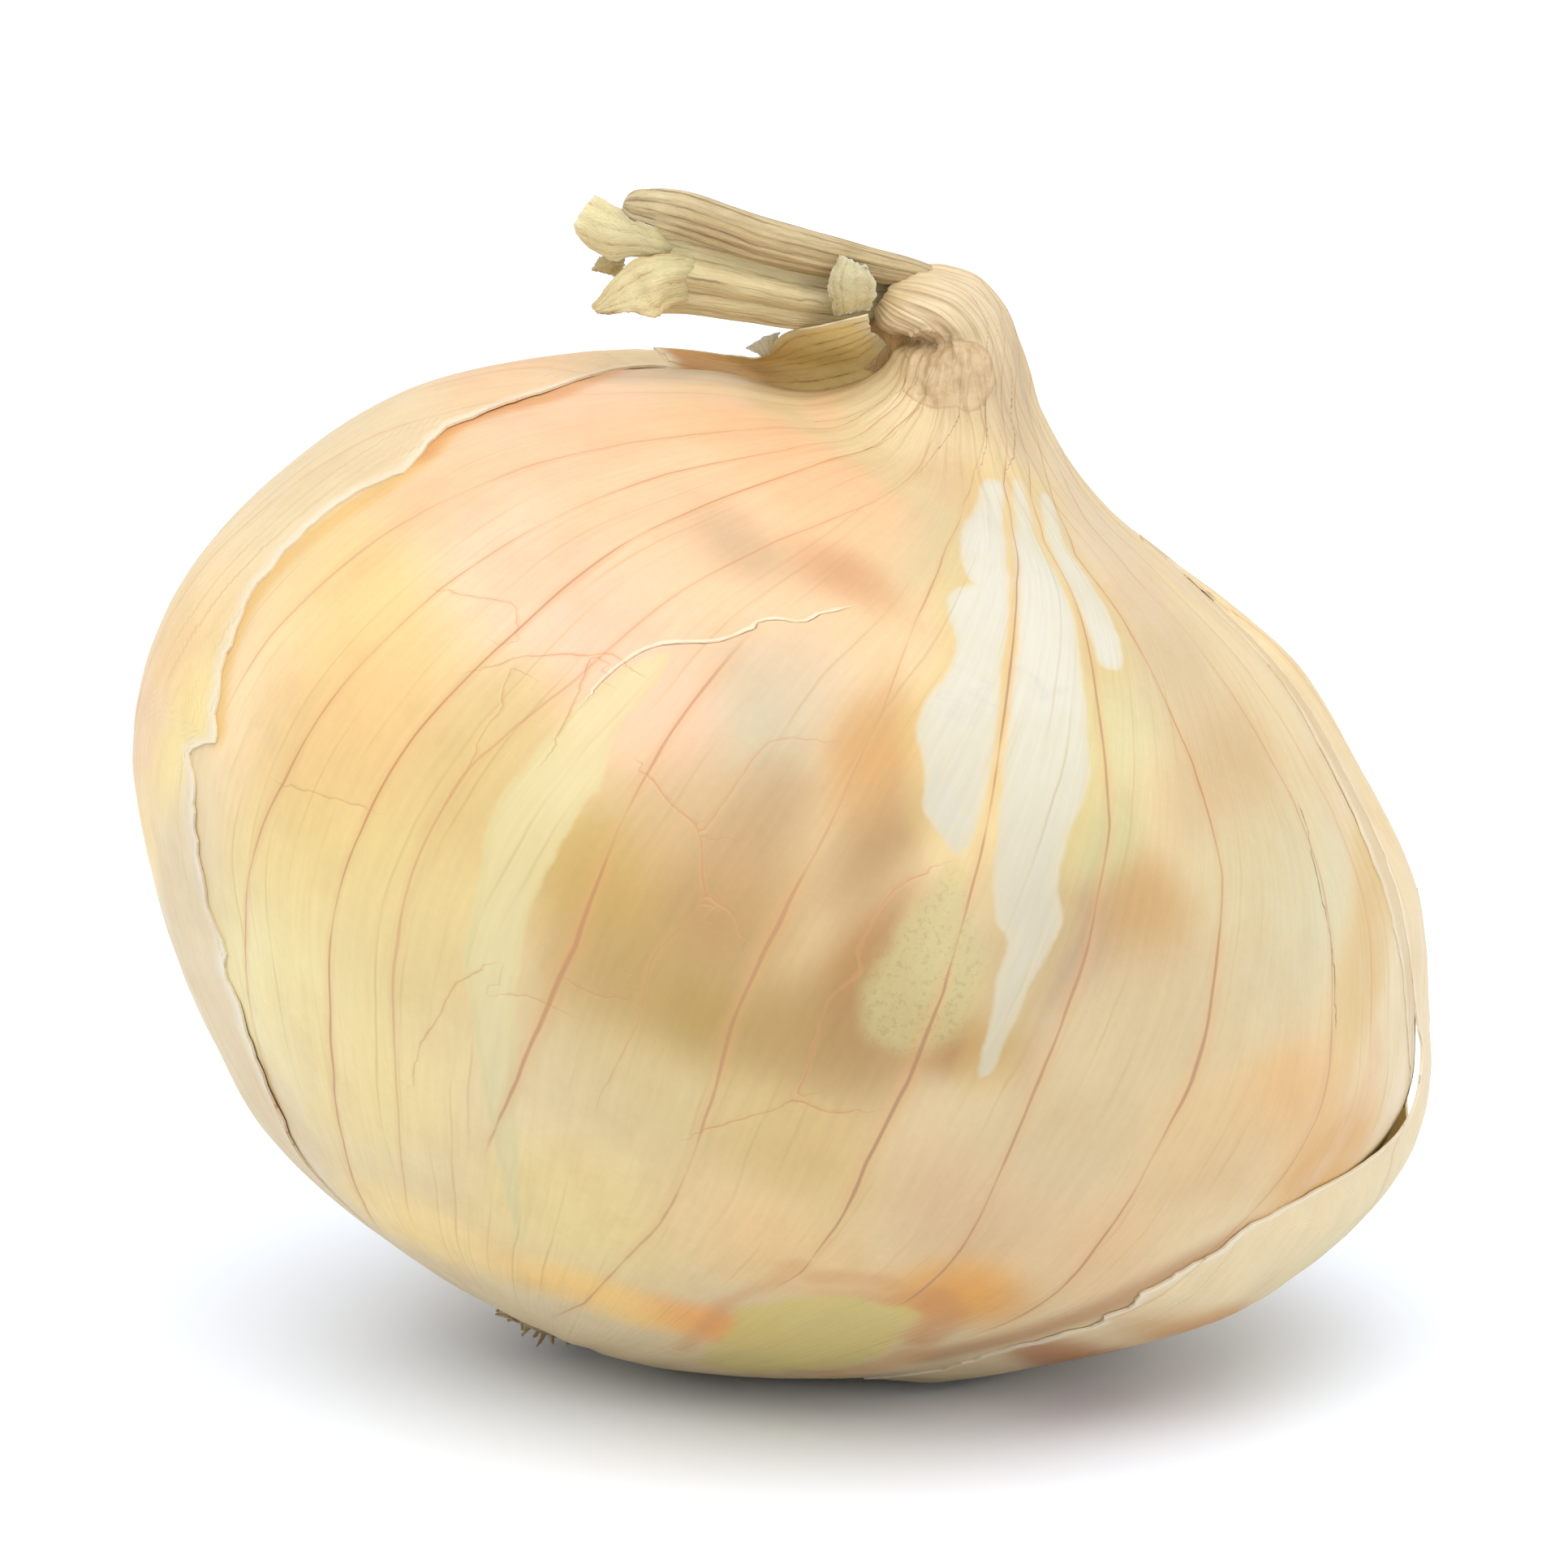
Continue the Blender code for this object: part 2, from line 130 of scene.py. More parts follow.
@dataclass(frozen=True)
class OnionForm:
    """The bulb's surface, as ellipse rings between a left and a right profile point on a leaning axis."""

    lean: float = math.radians(24.3)
    seat_across: float = 14.8
    seat_along: float = 4.8
    flat_depth: float = 0.45
    rings: tuple = (
        ((0.0, 0.6), (0.0, 0.6)), ((-7.9, 0.6), (7.8, 1.9)), ((-16.7, 2.6), (16.7, 5.8)),
        ((-24.4, 5.9), (24.6, 10.5)), ((-29.9, 10.2), (30.6, 15.1)), ((-34.7, 14.9), (35.8, 19.4)),
        ((-38.6, 19.9), (39.5, 23.5)), ((-41.9, 25.2), (41.8, 28.6)), ((-43.4, 31.4), (43.0, 33.9)),
        ((-42.7, 38.7), (43.2, 38.8)), ((-39.1, 47.2), (41.6, 43.2)), ((-33.9, 53.8), (37.9, 49.8)),
        ((-26.6, 58.6), (32.3, 54.8)), ((-19.0, 62.2), (24.7, 60.0)), ((-12.8, 63.7), (16.2, 63.1)),
        ((-9.9, 65.4), (10.1, 64.9)), ((-8.4, 67.2), (6.0, 66.9)), ((-8.0, 68.2), (2.6, 69.4)),
        ((-7.9, 69.1), (0.6, 71.6)), ((-7.6, 69.8), (-0.9, 73.2)), ((-8.1, 69.9), (-2.6, 74.7)),
        ((-8.7, 69.8), (-4.7, 75.6)), ((-9.4, 69.9), (-7.3, 75.3)), ((-10.2, 70.7), (-9.7, 73.9)),
    )
    hollow: tuple = (
        ((-9.9, 71.1), (-9.5, 73.5)), ((-8.0, 71.2), (-7.7, 73.7)), ((-6.5, 71.7), (-6.2, 73.4)),
        ((-5.9, 72.5), (-5.9, 72.5)),
    )
    neck_start: float = 15.0
    neck_roundness: float = 1.22
    crease_ring: float = 19.0
    crease_depth: float = 0.2
    crease_width: float = 0.7
    crease_side: float = math.radians(-55)
    pleats: int = 14
    pleat_drift: float = 0.8
    table_gap: float = 0.02
    body_rib: float = 0.0016
    neck_pleat: float = 0.024

    @property
    def lip_ring(self) -> float:
        """The ring of the collar's lip."""
        return len(self.rings) - 1.0

    def to_world(self, own: np.ndarray) -> np.ndarray:
        """Points of the onion's own frame as points of the scene.

        Args:
            own: Points across, along and back from the root, in millimetres.

        Returns:
            The points in metres.
        """
        across, along, back = np.moveaxis(own, -1, 0)
        a, l = across - self.seat_across, along - self.seat_along
        c, s = math.cos(self.lean), math.sin(self.lean)
        return np.stack([a * c + l * s, back, l * c - a * s - self.flat_depth], axis=-1) * MM

    def own_point(self, ring: np.ndarray, turn: np.ndarray) -> np.ndarray:
        """Points of the surface.

        Args:
            ring: Ring numbers.
            turn: Turns from the front, in radians.

        Returns:
            Points of the onion's own frame, in millimetres.
        """
        table = np.array(self.rings + self.hollow, float).reshape(-1, 4)
        la, ll, ra, rl = np.moveaxis(hermite(table, ring), -1, 0)
        neck = ease(self.neck_start - 1, self.neck_start + 2, ring)
        inside = ease(self.lip_ring, self.lip_ring + 1, ring)
        pleat = self.body_rib * ease(1, 4, ring) + (self.neck_pleat - self.body_rib) * neck * (1 - inside)
        swell = 1 + pleat * np.cos(self.pleats * turn + self.pleat_drift * np.sin(3 * turn))
        crease = np.exp(-(((ring - self.crease_ring) / self.crease_width) ** 2))
        swell -= self.crease_depth * crease * np.maximum(0.0, np.cos(turn - self.crease_side)) ** 2
        half_a, half_l = (ra - la) / 2, (rl - ll) / 2
        depth = np.hypot(half_a, half_l) * (1 + (self.neck_roundness - 1) * neck)
        across = (la + ra) / 2 + half_a * swell * np.sin(turn)
        along = (ll + rl) / 2 + half_l * swell * np.sin(turn)
        return np.stack([across, along, -depth * swell * np.cos(turn)], axis=-1)

    def own_normal(self, ring: np.ndarray, turn: np.ndarray) -> np.ndarray:
        """Directions straight out of the surface, for the same places as own_point's."""
        step = 0.02
        round_it = self.own_point(ring, turn + step) - self.own_point(ring, turn - step)
        up_it = self.own_point(ring + step, turn) - self.own_point(ring - step, turn)
        return unit(np.cross(up_it, round_it))

    def place(self, ring: np.ndarray, degrees: np.ndarray, lift: Any = 0.0) -> np.ndarray:
        """Points of the scene on or above the surface.

        Args:
            ring: Ring numbers.
            degrees: Turns from the front, in degrees.
            lift: Height above the surface, in millimetres.

        Returns:
            Points in metres, kept off the table.
        """
        ring, turn = np.broadcast_arrays(np.asarray(ring, float), np.radians(degrees))
        lift = np.broadcast_to(np.asarray(lift, float), ring.shape)[..., None]
        world = self.to_world(self.own_point(ring, turn) + self.own_normal(ring, turn) * lift)
        world[..., 2] = np.maximum(world[..., 2], self.table_gap * MM)
        return world


FORM = OnionForm()


# Meshes from grids of points


@dataclass
class Sheet:
    """A grid of points with its pattern coordinates and its named fields, ready to be made a piece.

    A closed grid runs once round, so its last column repeats its first, and it is capped at both its ends.
    """

    points: np.ndarray
    across: np.ndarray
    along: np.ndarray
    fields: dict[str, np.ndarray] = field(default_factory=dict)
    closed: bool = False
    holes: np.ndarray | None = None

    def to_mesh(self, name: str) -> bpy.types.Mesh:
        """The grid as a mesh with a UV map named grain and a point attribute for each field.

        Args:
            name: The mesh's name.

        Returns:
            The mesh.
        """
        grid, fields = self.points, self.fields
        if self.closed:
            grid, fields = grid[:, :-1], {key: f[:, :-1] for key, f in fields.items()}
        rows, columns = grid.shape[:2]
        spans = columns if self.closed else columns - 1
        r, c = np.meshgrid(np.arange(rows - 1), np.arange(spans), indexing="ij")
        nxt = (c + 1) % columns
        quads = np.stack([r * columns + c, r * columns + nxt, (r + 1) * columns + nxt, (r + 1) * columns + c], -1)
        u0, u1 = self.across[r, c], self.across[r, c + 1]
        v0, v1 = self.along[r, c], self.along[r + 1, c]
        uv = np.stack([np.stack([u0, u1, u1, u0], -1), np.stack([v0, v0, v1, v1], -1)], -1)
        keep = np.ones(r.shape, bool) if self.holes is None else ~self.holes
        quads, uv = quads[keep].reshape(-1, 4), uv[keep].reshape(-1, 4, 2)
        points = grid.reshape(-1, 3)
        faces, spots = quads.tolist(), uv.reshape(-1, 2)
        values = {key: f.reshape(len(points), -1) for key, f in fields.items()}
        if self.closed:
            ends = [np.arange(columns), (rows - 1) * columns + np.arange(columns)]
            for side, ring in enumerate(ends):
                tip = len(points)
                points = np.vstack([points, points[ring].mean(0)])
                values = {key: np.vstack([f, f[ring].mean(0)]) for key, f in values.items()}
                pairs = np.stack([ring, np.roll(ring, -1)], 1)
                pairs = pairs[:, ::-1] if side == 0 else pairs
                faces += [[int(a), int(b), tip] for a, b in pairs]
                row = 0 if side == 0 else rows - 1
                u, v = self.across[row, :columns], float(self.along[row, 0])
                spots = np.vstack([spots, np.repeat(np.stack([u, np.full(columns, v)], 1), 3, axis=0)])
        mesh = bpy.data.meshes.new(name)
        mesh.from_pydata(points.tolist(), [], faces)
        mesh.uv_layers.new(name="grain").data.foreach_set("uv", spots.ravel().astype(np.float32))
        for key, f in values.items():
            kind, slot = ("FLOAT", "value") if f.shape[1] == 1 else ("FLOAT_COLOR", "color")
            if f.shape[1] == 3:
                f = np.hstack([f, np.ones((len(f), 1))])
            mesh.attributes.new(key, kind, "POINT").data.foreach_set(slot, f.ravel().astype(np.float32))
        mesh.shade_smooth()
        return mesh

    def to_piece(self, name: str, material: bpy.types.Material, wall: float = 0.0) -> bpy.types.Object:
        """The grid as a piece, closed with its faces looking out, or open with a wall.

        Args:
            name: The piece's name.
            material: Its finish.
            wall: The wall's thickness in millimetres.

        Returns:
            The piece.
        """
        mesh = self.to_mesh(name)
        if self.closed:
            face_out(mesh)
        if self.holes is not None:
            clean(mesh)
        piece = new_piece(name, mesh, material)
        if wall:
            give_wall(piece, wall)
        return piece


def clean(mesh: bpy.types.Mesh) -> None:
    """Removes loose points from a mesh."""
    bm = bmesh.new()
    bm.from_mesh(mesh)
    bmesh.ops.delete(bm, geom=[v for v in bm.verts if not v.link_faces], context="VERTS")
    bm.to_mesh(mesh)
    bm.free()


def face_out(mesh: bpy.types.Mesh) -> None:
    """Turns the faces of a closed mesh to look out of it."""
    bm = bmesh.new()
    bm.from_mesh(mesh)
    bmesh.ops.recalc_face_normals(bm, faces=bm.faces)
    if bm.calc_volume(signed=True) < 0:
        bmesh.ops.reverse_faces(bm, faces=bm.faces)
    bm.to_mesh(mesh)
    bm.free()


def new_piece(name: str, mesh: bpy.types.Mesh, material: bpy.types.Material) -> bpy.types.Object:
    """A piece at the origin with one material, linked to the scene."""
    piece = bpy.data.objects.new(name, mesh)
    bpy.context.scene.collection.objects.link(piece)
    mesh.materials.clear()
    mesh.materials.append(material)
    return piece


def settle(piece: bpy.types.Object, slot: str, *nodes: str) -> None:
    """Rides a piece on the onion, hides the plain solids that it stands for, and logs it."""
    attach(piece, "root")
    if nodes:
        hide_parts(*nodes)
    LOG.info("%s: %d faces", piece.name, len(piece.data.polygons))


def applied(piece: bpy.types.Object) -> None:
    """Makes a piece's modifiers part of its plain mesh."""
    graph = bpy.context.evaluated_depsgraph_get()
    mesh = bpy.data.meshes.new_from_object(piece.evaluated_get(graph))
    piece.modifiers.clear()
    piece.data = mesh


def give_wall(piece: bpy.types.Object, thickness: float, sharp: float = 40.0) -> None:
    """Thickens an open sheet inwards from the side that its faces look to, and applies it.

    Args:
        piece: The sheet.
        thickness: The wall's thickness in millimetres.
        sharp: The angle in degrees from which an edge stays sharp.
    """
    wall = piece.modifiers.new("wall", "SOLIDIFY")
    wall.thickness = thickness * MM
    wall.offset = -1.0
    applied(piece)
    piece.data.set_sharp_from_angle(angle=math.radians(sharp))


# Named marks on the skins


@dataclass(frozen=True)
class Patch:
    """A soft round or long patch of colour."""

    ring: float
    degrees: float
    tall: float
    wide: float
    colour: Tone
    weight: float


@dataclass(frozen=True)
class Course:
    """A line of places on a skin, such as a cross vein, a tear or a fold."""

    places: Places
    reach: float = 1.0

    def smooth(self, form: OnionForm, steps: int = 4) -> np.ndarray:
        """Points in metres along the line, on a smooth curve through its places."""
        table = np.array(self.places, float)
        at = np.linspace(0, len(table) - 1, (len(table) - 1) * steps + 1)
        curve = hermite(table, at)
        return form.place(curve[:, 0], curve[:, 1])


def line_fields(points: np.ndarray, outward: np.ndarray, courses: Sequence[Course], form: OnionForm,
                near: float) -> tuple[np.ndarray, np.ndarray]:
    """How far each point lies to one side of the nearest of some lines.

    Args:
        points: Points in metres, in any shape.
        outward: Directions out of the surface at them.
        courses: The lines.
        form: The surface that they lie on.
        near: The distance in millimetres where the second field has faded to 0.

    Returns:
        The signed distance in millimetres, positive on the left of a line, and a field that is 1 on a line.
    """
    flat, out = points.reshape(-1, 3) / MM, outward.reshape(-1, 3)
    best, signed = np.full(len(flat), FAR), np.full(len(flat), FAR)
    reach = np.zeros(len(flat))
    for course in courses:
        line = course.smooth(form) / MM
        for start, end in zip(line[:-1], line[1:]):
            run = end - start
            span = float(run @ run) or 1e-9
            share = np.clip((flat - start) @ run / span, 0, 1)
            gap = flat - (start + share[:, None] * run)
            distance = np.linalg.norm(gap, axis=1)
            side = np.sign(np.einsum("ij,ij->i", np.cross(out, run), gap))
            closer = distance < best
            best = np.where(closer, distance, best)
            signed = np.where(closer, distance * np.where(side == 0, 1, side), signed)
            reach = np.where(closer, course.reach, reach)
    shown = (1 - ease(near * 0.45, near, best)) * reach
    return np.clip(signed, -near, near).reshape(points.shape[:-1]), shown.reshape(points.shape[:-1])


def chart(form: OnionForm, ring: np.ndarray, degrees: np.ndarray) -> np.ndarray:
    """Places on the front of the bulb laid flat.

    Args:
        form: The bulb's surface.
        ring: Ring numbers.
        degrees: Turns in degrees.

    Returns:
        Places across and along in millimetres, with lengths nearly true.
    """
    rungs = np.linspace(0, GRAIN_RINGS, 231)
    middle = form.own_point(rungs, np.zeros_like(rungs))
    length = np.concatenate([[0], np.cumsum(np.linalg.norm(np.diff(middle, axis=0), axis=1))])
    radius = np.maximum(-middle[:, 2], 3.0)
    along = np.interp(ring, rungs, length)
    return np.stack([np.radians(degrees) * np.interp(ring, rungs, radius), along], axis=-1)


def outline_field(form: OnionForm, ring: np.ndarray, degrees: np.ndarray, places: Places,
                  reach: float = 6.0) -> np.ndarray:
    """How far each point lies inside a closed outline.

    Args:
        form: The surface.
        ring: Ring numbers.
        degrees: Turns in degrees.
        places: The outline's corners, which a smooth curve joins.
        reach: The most that is told either way, in millimetres.

    Returns:
        Millimetres inside the outline, negative outside.
    """
    spots = chart(form, ring, degrees).reshape(-1, 2)
    at = np.linspace(0, len(places), len(places) * 3, endpoint=False)
    table = np.array([places[-1], *places, *places[:2]], float)
    bend = hermite(table, at + 1)
    corners = chart(form, bend[:, 0], bend[:, 1])
    inside = np.zeros(len(spots), bool)
    gap = np.full(len(spots), FAR)
    for start, end in zip(corners, np.roll(corners, -1, axis=0)):
        crosses = (start[1] > spots[:, 1]) != (end[1] > spots[:, 1])
        rise = end[1] - start[1] or 1e-9
        inside ^= crosses & (spots[:, 0] < (end[0] - start[0]) * (spots[:, 1] - start[1]) / rise + start[0])
        run = end - start
        share = np.clip((spots - start) @ run / (float(run @ run) or 1e-9), 0, 1)
        gap = np.minimum(gap, np.linalg.norm(spots - start - share[:, None] * run, axis=1))
    return np.clip(np.where(inside, gap, -gap), -reach, reach).reshape(np.shape(ring))


def tint_field(form: OnionForm, ring: np.ndarray, degrees: np.ndarray, ground: Tone, patches: Sequence[Patch],
               ground_weight: float = 0.12, wander: float = 1.6, wave: float = 9.0) -> np.ndarray:
    """A skin's broad colour at each point, in linear light.

    Args:
        form: The surface.
        ring: Ring numbers.
        degrees: Turns in degrees.
        ground: The colour where no patch reaches.
        patches: The patches, which blend into each other.
        ground_weight: How much the ground counts where patches reach.
        wander: How far noise pulls the patches about, in millimetres.
        wave: The length of that noise, in millimetres.

    Returns:
        An array with red, green and blue last.
    """
    spots = chart(form, ring, degrees)
    wander_x = wander * ripple(spots[..., 0] / wave, spots[..., 1] / wave, 3.1)
    wander_y = wander * ripple(spots[..., 0] / wave, spots[..., 1] / wave, 8.4)
    total = np.full((*np.shape(ring), 1), ground_weight)
    colour = total * shades(ground)
    for patch in patches:
        middle = chart(form, np.array(patch.ring), np.array(patch.degrees))
        x, y = spots[..., 0] + wander_x - middle[0], spots[..., 1] + wander_y - middle[1]
        share = (patch.weight * np.exp(-(np.hypot(x / patch.wide, y / patch.tall) ** 2)))[..., None]
        colour = colour + shades(patch.colour) * share
        total = total + share
    return colour / total


@dataclass(frozen=True)
class MainVeins:
    """The strong veins that run from the roots to the neck, as degrees on each of some rings, from left to right."""

    rings: tuple = (1.5, 3, 5, 7, 8, 9, 10, 11, 12, 13, 14, 15, 16, 17, 19, 22)
    turns: tuple = (
        (-94, -88, -84, -82, -81, -81, -79, -77, -77, -73, -73, -74, -75, -78, -80, -85),
        (-82, -72, -64, -61, -61, -61, -60, -57, -56.5, -53, -53, -55, -56, -58, -60, -62),
        (-70, -62, -56, -51, -49, -48.5, -48, -46.5, -47, -44.5, -46, -47, -45, -42, -38, -38),
        (-56, -44.5, -41, -39.5, -39, -39, -38.5, -38.5, -39, -38.5, -39.5, -39.5, -36, -30, -19, -16),
        (-42, -34, -32, -32.5, -33, -33, -30.5, -29.5, -28.5, -25, -24.5, -23, -20, -15, 0, 6),
        (-34, -24, -21.5, -17.5, -17, -18.5, -20.5, -21, -18, -16.5, -15, -12, -9, -3, 15, 25),
        (-14, -5, -2, -2, -3, -3.5, -4.5, -5.5, -8.5, -10.5, -9.5, -4, 4, 14, 34, 46),
        (4, 11, 13, 12, 12, 11, 9, 7, 4.5, 2.5, 4, 8, 17, 27, 48, 66),
        (18, 23, 25, 23.5, 22.5, 21.5, 21, 20, 17, 14.5, 13, 19, 30, 40, 62, 85),
        (34, 38, 38.5, 36.5, 36, 36, 35, 34.5, 31.5, 25, 22.5, 31, 42, 54, 77, 105),
        (50, 48, 47, 51, 53.5, 54, 53.5, 52, 51.5, 45, 42.5, 46, 56, 67, 92, 124),
        (66, 62, 60, 60, 61, 61.5, 62, 62, 63, 58, 58.5, 64, 73, 83, 108, 144),
        (82, 78, 76, 76, 76, 77, 78, 78, 78, 76, 76, 80, 88, 98, 124, 160),
    )
    strength: tuple = (0.3, 0.5, 0.85, 1.0, 0.5, 0.9, 0.75, 0.9, 0.8, 0.9, 0.55, 0.6, 0.4)
    darkness: tuple = (0.0, 0.1, 0.0, 0.1, 0.15, 0.1, 0.25, 0.5, 0.45, 0.4, 0.5, 0.1, 0.2)
    low: tuple = (2, 8, 2.5, 1.5, 3, 4.8, 2, 4.4, 4.6, 4.2, 5, 9.5, 3)
    high: tuple = (15, 24, 24, 24, 24, 11.2, 24, 24, 24, 24, 24, 24, 24)
    spacing: float = 12.0
    fade: float = 0.8
    back: float = 172.0
    neck: tuple = (13.5, 15.5)
    neck_dark: float = 0.75
    neck_gain: float = 0.3
    first: int = 40

    def fields(self, ring: np.ndarray, degrees: np.ndarray) -> dict[str, np.ndarray]:
        """The veins' fields.

        Args:
            ring: Ring numbers.
            degrees: Turns in degrees.

        Returns:
            vein_phase, which is a whole number on each vein, vein_strength and vein_dark.
        """
        lines = np.stack([np.interp(ring, self.rings, row) for row in self.turns])
        last = len(self.turns) - 1
        phase = (degrees - lines[0]) / self.spacing
        for k in range(last):
            inside = (degrees >= lines[k]) & (degrees < lines[k + 1])
            phase = np.where(inside, k + (degrees - lines[k]) / (lines[k + 1] - lines[k]), phase)
        phase = np.where(degrees >= lines[-1], last + (degrees - lines[-1]) / self.spacing, phase)
        nearest = np.clip(np.round(phase).astype(int), 0, last)
        strength = np.array(self.strength)[nearest]
        low, high = np.array(self.low, float)[nearest], np.array(self.high, float)[nearest]
        begun, ended = ((ring - low) / self.fade, (ring - high + self.fade) / self.fade)
        strength = strength * ease(0, 1, begun) * (1 - ease(0, 1, ended))
        strength = np.where(np.abs(degrees) > self.back, 0.0, strength)
        neck = ease(*self.neck, ring)
        dark = np.array(self.darkness)[nearest] * (1 - neck) + self.neck_dark * neck
        strength = strength * (1 + self.neck_gain * neck)
        return {"vein_phase": phase + self.first, "vein_strength": strength, "vein_dark": dark}


# The soft colours of the front skin, of the outer skin and of the folds at the neck, each at its own place

FRONT_PATCHES = (
    Patch(11.6, -49, 6.2, 13.5, (252, 202, 160), .9),  # upper left peach
    Patch(12.9, -43, 3.4, 8.1, (253, 193, 144), .8),  # upper peach
    Patch(12.9, -26, 3.4, 4.8, (250, 194, 145), .8),  # upper peach right
    Patch(11.8, -33, 2.0, 3.4, (190, 162, 122), .9),  # smudge
    Patch(12.1, -21, 2.0, 3.4, (213, 155, 107), .9),  # red cheek
    Patch(10.4, -45, 3.4, 6.2, (255, 218, 185), .9),  # pink shine
    Patch(10.6, -64, 3.4, 6.2, (253, 206, 161), .9),  # left orange
    Patch(9.5, -55, 4.8, 6.2, (254, 214, 142), .9),  # left yellow
    Patch(8.6, -57, 4.8, 4.4, (262, 230, 178), .9),  # far left peach
    Patch(8.5, -46, 4.8, 6.2, (237, 194, 127), .9),  # left gold
    Patch(7.6, -44, 4.8, 6.2, (244, 216, 140), .8),  # left low gold
    Patch(5.8, -49, 6.2, 6.2, (253, 232, 160), .9),  # cream left
    Patch(5.2, -36, 6.2, 4.8, (248, 221, 149), .9),  # cream low left
    Patch(3.1, -32, 3.4, 4.8, (262, 227, 146), .9),  # low left edge
    Patch(4.6, -11, 4.8, 4.8, (246, 219, 147), .9),  # low middle
    Patch(7.5, -32, 6.2, 4.8, (233, 206, 137), .8),  # mid left
    Patch(9.0, -31, 4.8, 3.4, (220, 189, 123), .8),  # strip left
    Patch(10.5, -36, 3.4, 4.8, (255, 198, 166), .9),  # pale above
    Patch(10.2, -23, 3.4, 4.8, (252, 197, 163), .8),  # pale crack
    Patch(10.7, -15, 3.4, 3.4, (210, 187, 156), .8),  # grey one
    Patch(10.3, -16, 3.4, 3.4, (190, 191, 158), .7),  # grey two
    Patch(9.8, -10, 3.4, 2.0, (183, 145, 98), .9),  # brown one
    Patch(9.7, -15, 3.4, 3.4, (204, 166, 115), .8),  # tan mid
    Patch(9.0, -8, 3.4, 3.4, (182, 140, 84), .8),  # tan mid low
    Patch(8.1, -13, 4.8, 3.4, (190, 153, 86), .9),  # brown two
    Patch(7.8, -6, 3.4, 3.4, (175, 137, 54), .8),  # brown three
    Patch(8.7, -18, 3.4, 3.4, (199, 162, 82), .8),  # tan left two
    Patch(6.9, -7, 3.4, 4.8, (221, 197, 140), .8),  # light low
    Patch(6.7, 4, 3.4, 4.8, (217, 183, 116), .8),  # light low two
    Patch(8.0, 1, 3.4, 3.4, (181, 145, 82), .8),  # shadow mid
    Patch(10.6, -4, 3.4, 2.0, (205, 150, 81), .9),  # orange left white
    Patch(10.0, 0, 3.4, 2.0, (173, 134, 83), .9),  # orange left white two
    Patch(9.0, 5, 3.4, 2.0, (168, 118, 59), .9),  # orange low white
    Patch(8.6, 14, 2.0, 3.4, (171, 116, 49), .8),  # orange under white
    Patch(8.2, 7, 3.4, 3.4, (170, 127, 65), .8),  # tan under
    Patch(12.9, -15, 3.4, 3.4, (204, 196, 149), .8),  # light neck left
    Patch(14.2, -12, 3.4, 2.0, (223, 190, 144), .8),  # neck orange
    Patch(9.8, 18, 4.8, 3.4, (167, 139, 112), .8),  # orange right white
    Patch(10.4, 24, 3.4, 3.4, (196, 150, 88), .8),  # orange right two
    Patch(11.9, 19, 4.8, 2.0, (221, 211, 160), .9),  # green right
    Patch(10.8, 19, 3.4, 2.0, (201, 196, 143), .9),  # green right two
    Patch(12.8, 31, 4.8, 3.4, (211, 186, 145), .8),  # right gold
    Patch(12.0, 37, 4.8, 3.4, (209, 179, 132), .8),  # right gold two
    Patch(9.6, 30, 4.8, 4.8, (207, 183, 139), .8),  # right light
    Patch(8.0, 26, 3.4, 4.8, (212, 187, 141), .8),  # right light two
    Patch(6.9, 22, 3.4, 4.8, (220, 183, 137), .8),  # right low
    Patch(11.3, 41, 4.8, 4.4, (215, 199, 156), .8),  # right tan
    Patch(10.9, 49, 4.8, 2.6, (220, 210, 169), .9),  # right green strip
    Patch(10.8, 62, 6.2, 2.6, (223, 187, 118), .9),  # right orange edge
    Patch(9.2, 49, 3.4, 4.4, (229, 180, 116), .9),  # right low orange
    Patch(8.3, 60, 3.4, 4.4, (222, 163, 71), .9),  # right low orange three
    Patch(14.8, 39, 3.4, 3.4, (222, 198, 163), .8),  # right peach up
    Patch(13.8, 38, 3.4, 2.0, (221, 193, 153), .8),  # right brown up
    Patch(3.4, 10, 2.0, 3.4, (256, 169, 75), .9),  # bottom orange left
    Patch(5.4, 29, 3.4, 3.4, (237, 162, 50), .9),  # bottom orange right
    Patch(3.2, -5, 2.0, 4.8, (262, 213, 120), .8),  # bottom tan left
    Patch(15.8, -72, 2.0, 2.6, (236, 213, 167), .9),  # neck left
    Patch(17.9, -19, 3.4, 2.0, (205, 183, 137), .9),  # neck front
    Patch(17.4, 37, 3.4, 2.0, (205, 182, 146), .9),  # neck light
    Patch(21.0, -30, 2.0, 2.0, (238, 218, 179), .9),  # collar left
    Patch(20.7, 33, 2.0, 2.0, (230, 209, 173), .9),  # collar right
    Patch(8.4, 41, 4.8, 4.4, (223, 188, 133), .8),  # light low right
    Patch(10.3, 41, 4.8, 4.4, (215, 197, 156), .8),  # light mid right
    Patch(5.3, 9, 3.4, 4.8, (243, 202, 139), .8),  # mid bottom
    Patch(6.7, 37, 3.4, 3.4, (231, 190, 136), .8),  # gold right bottom
    Patch(14.2, -68, 1.6, 2.4, (248, 206, 158), 1.0),  # fold under the sheath
)

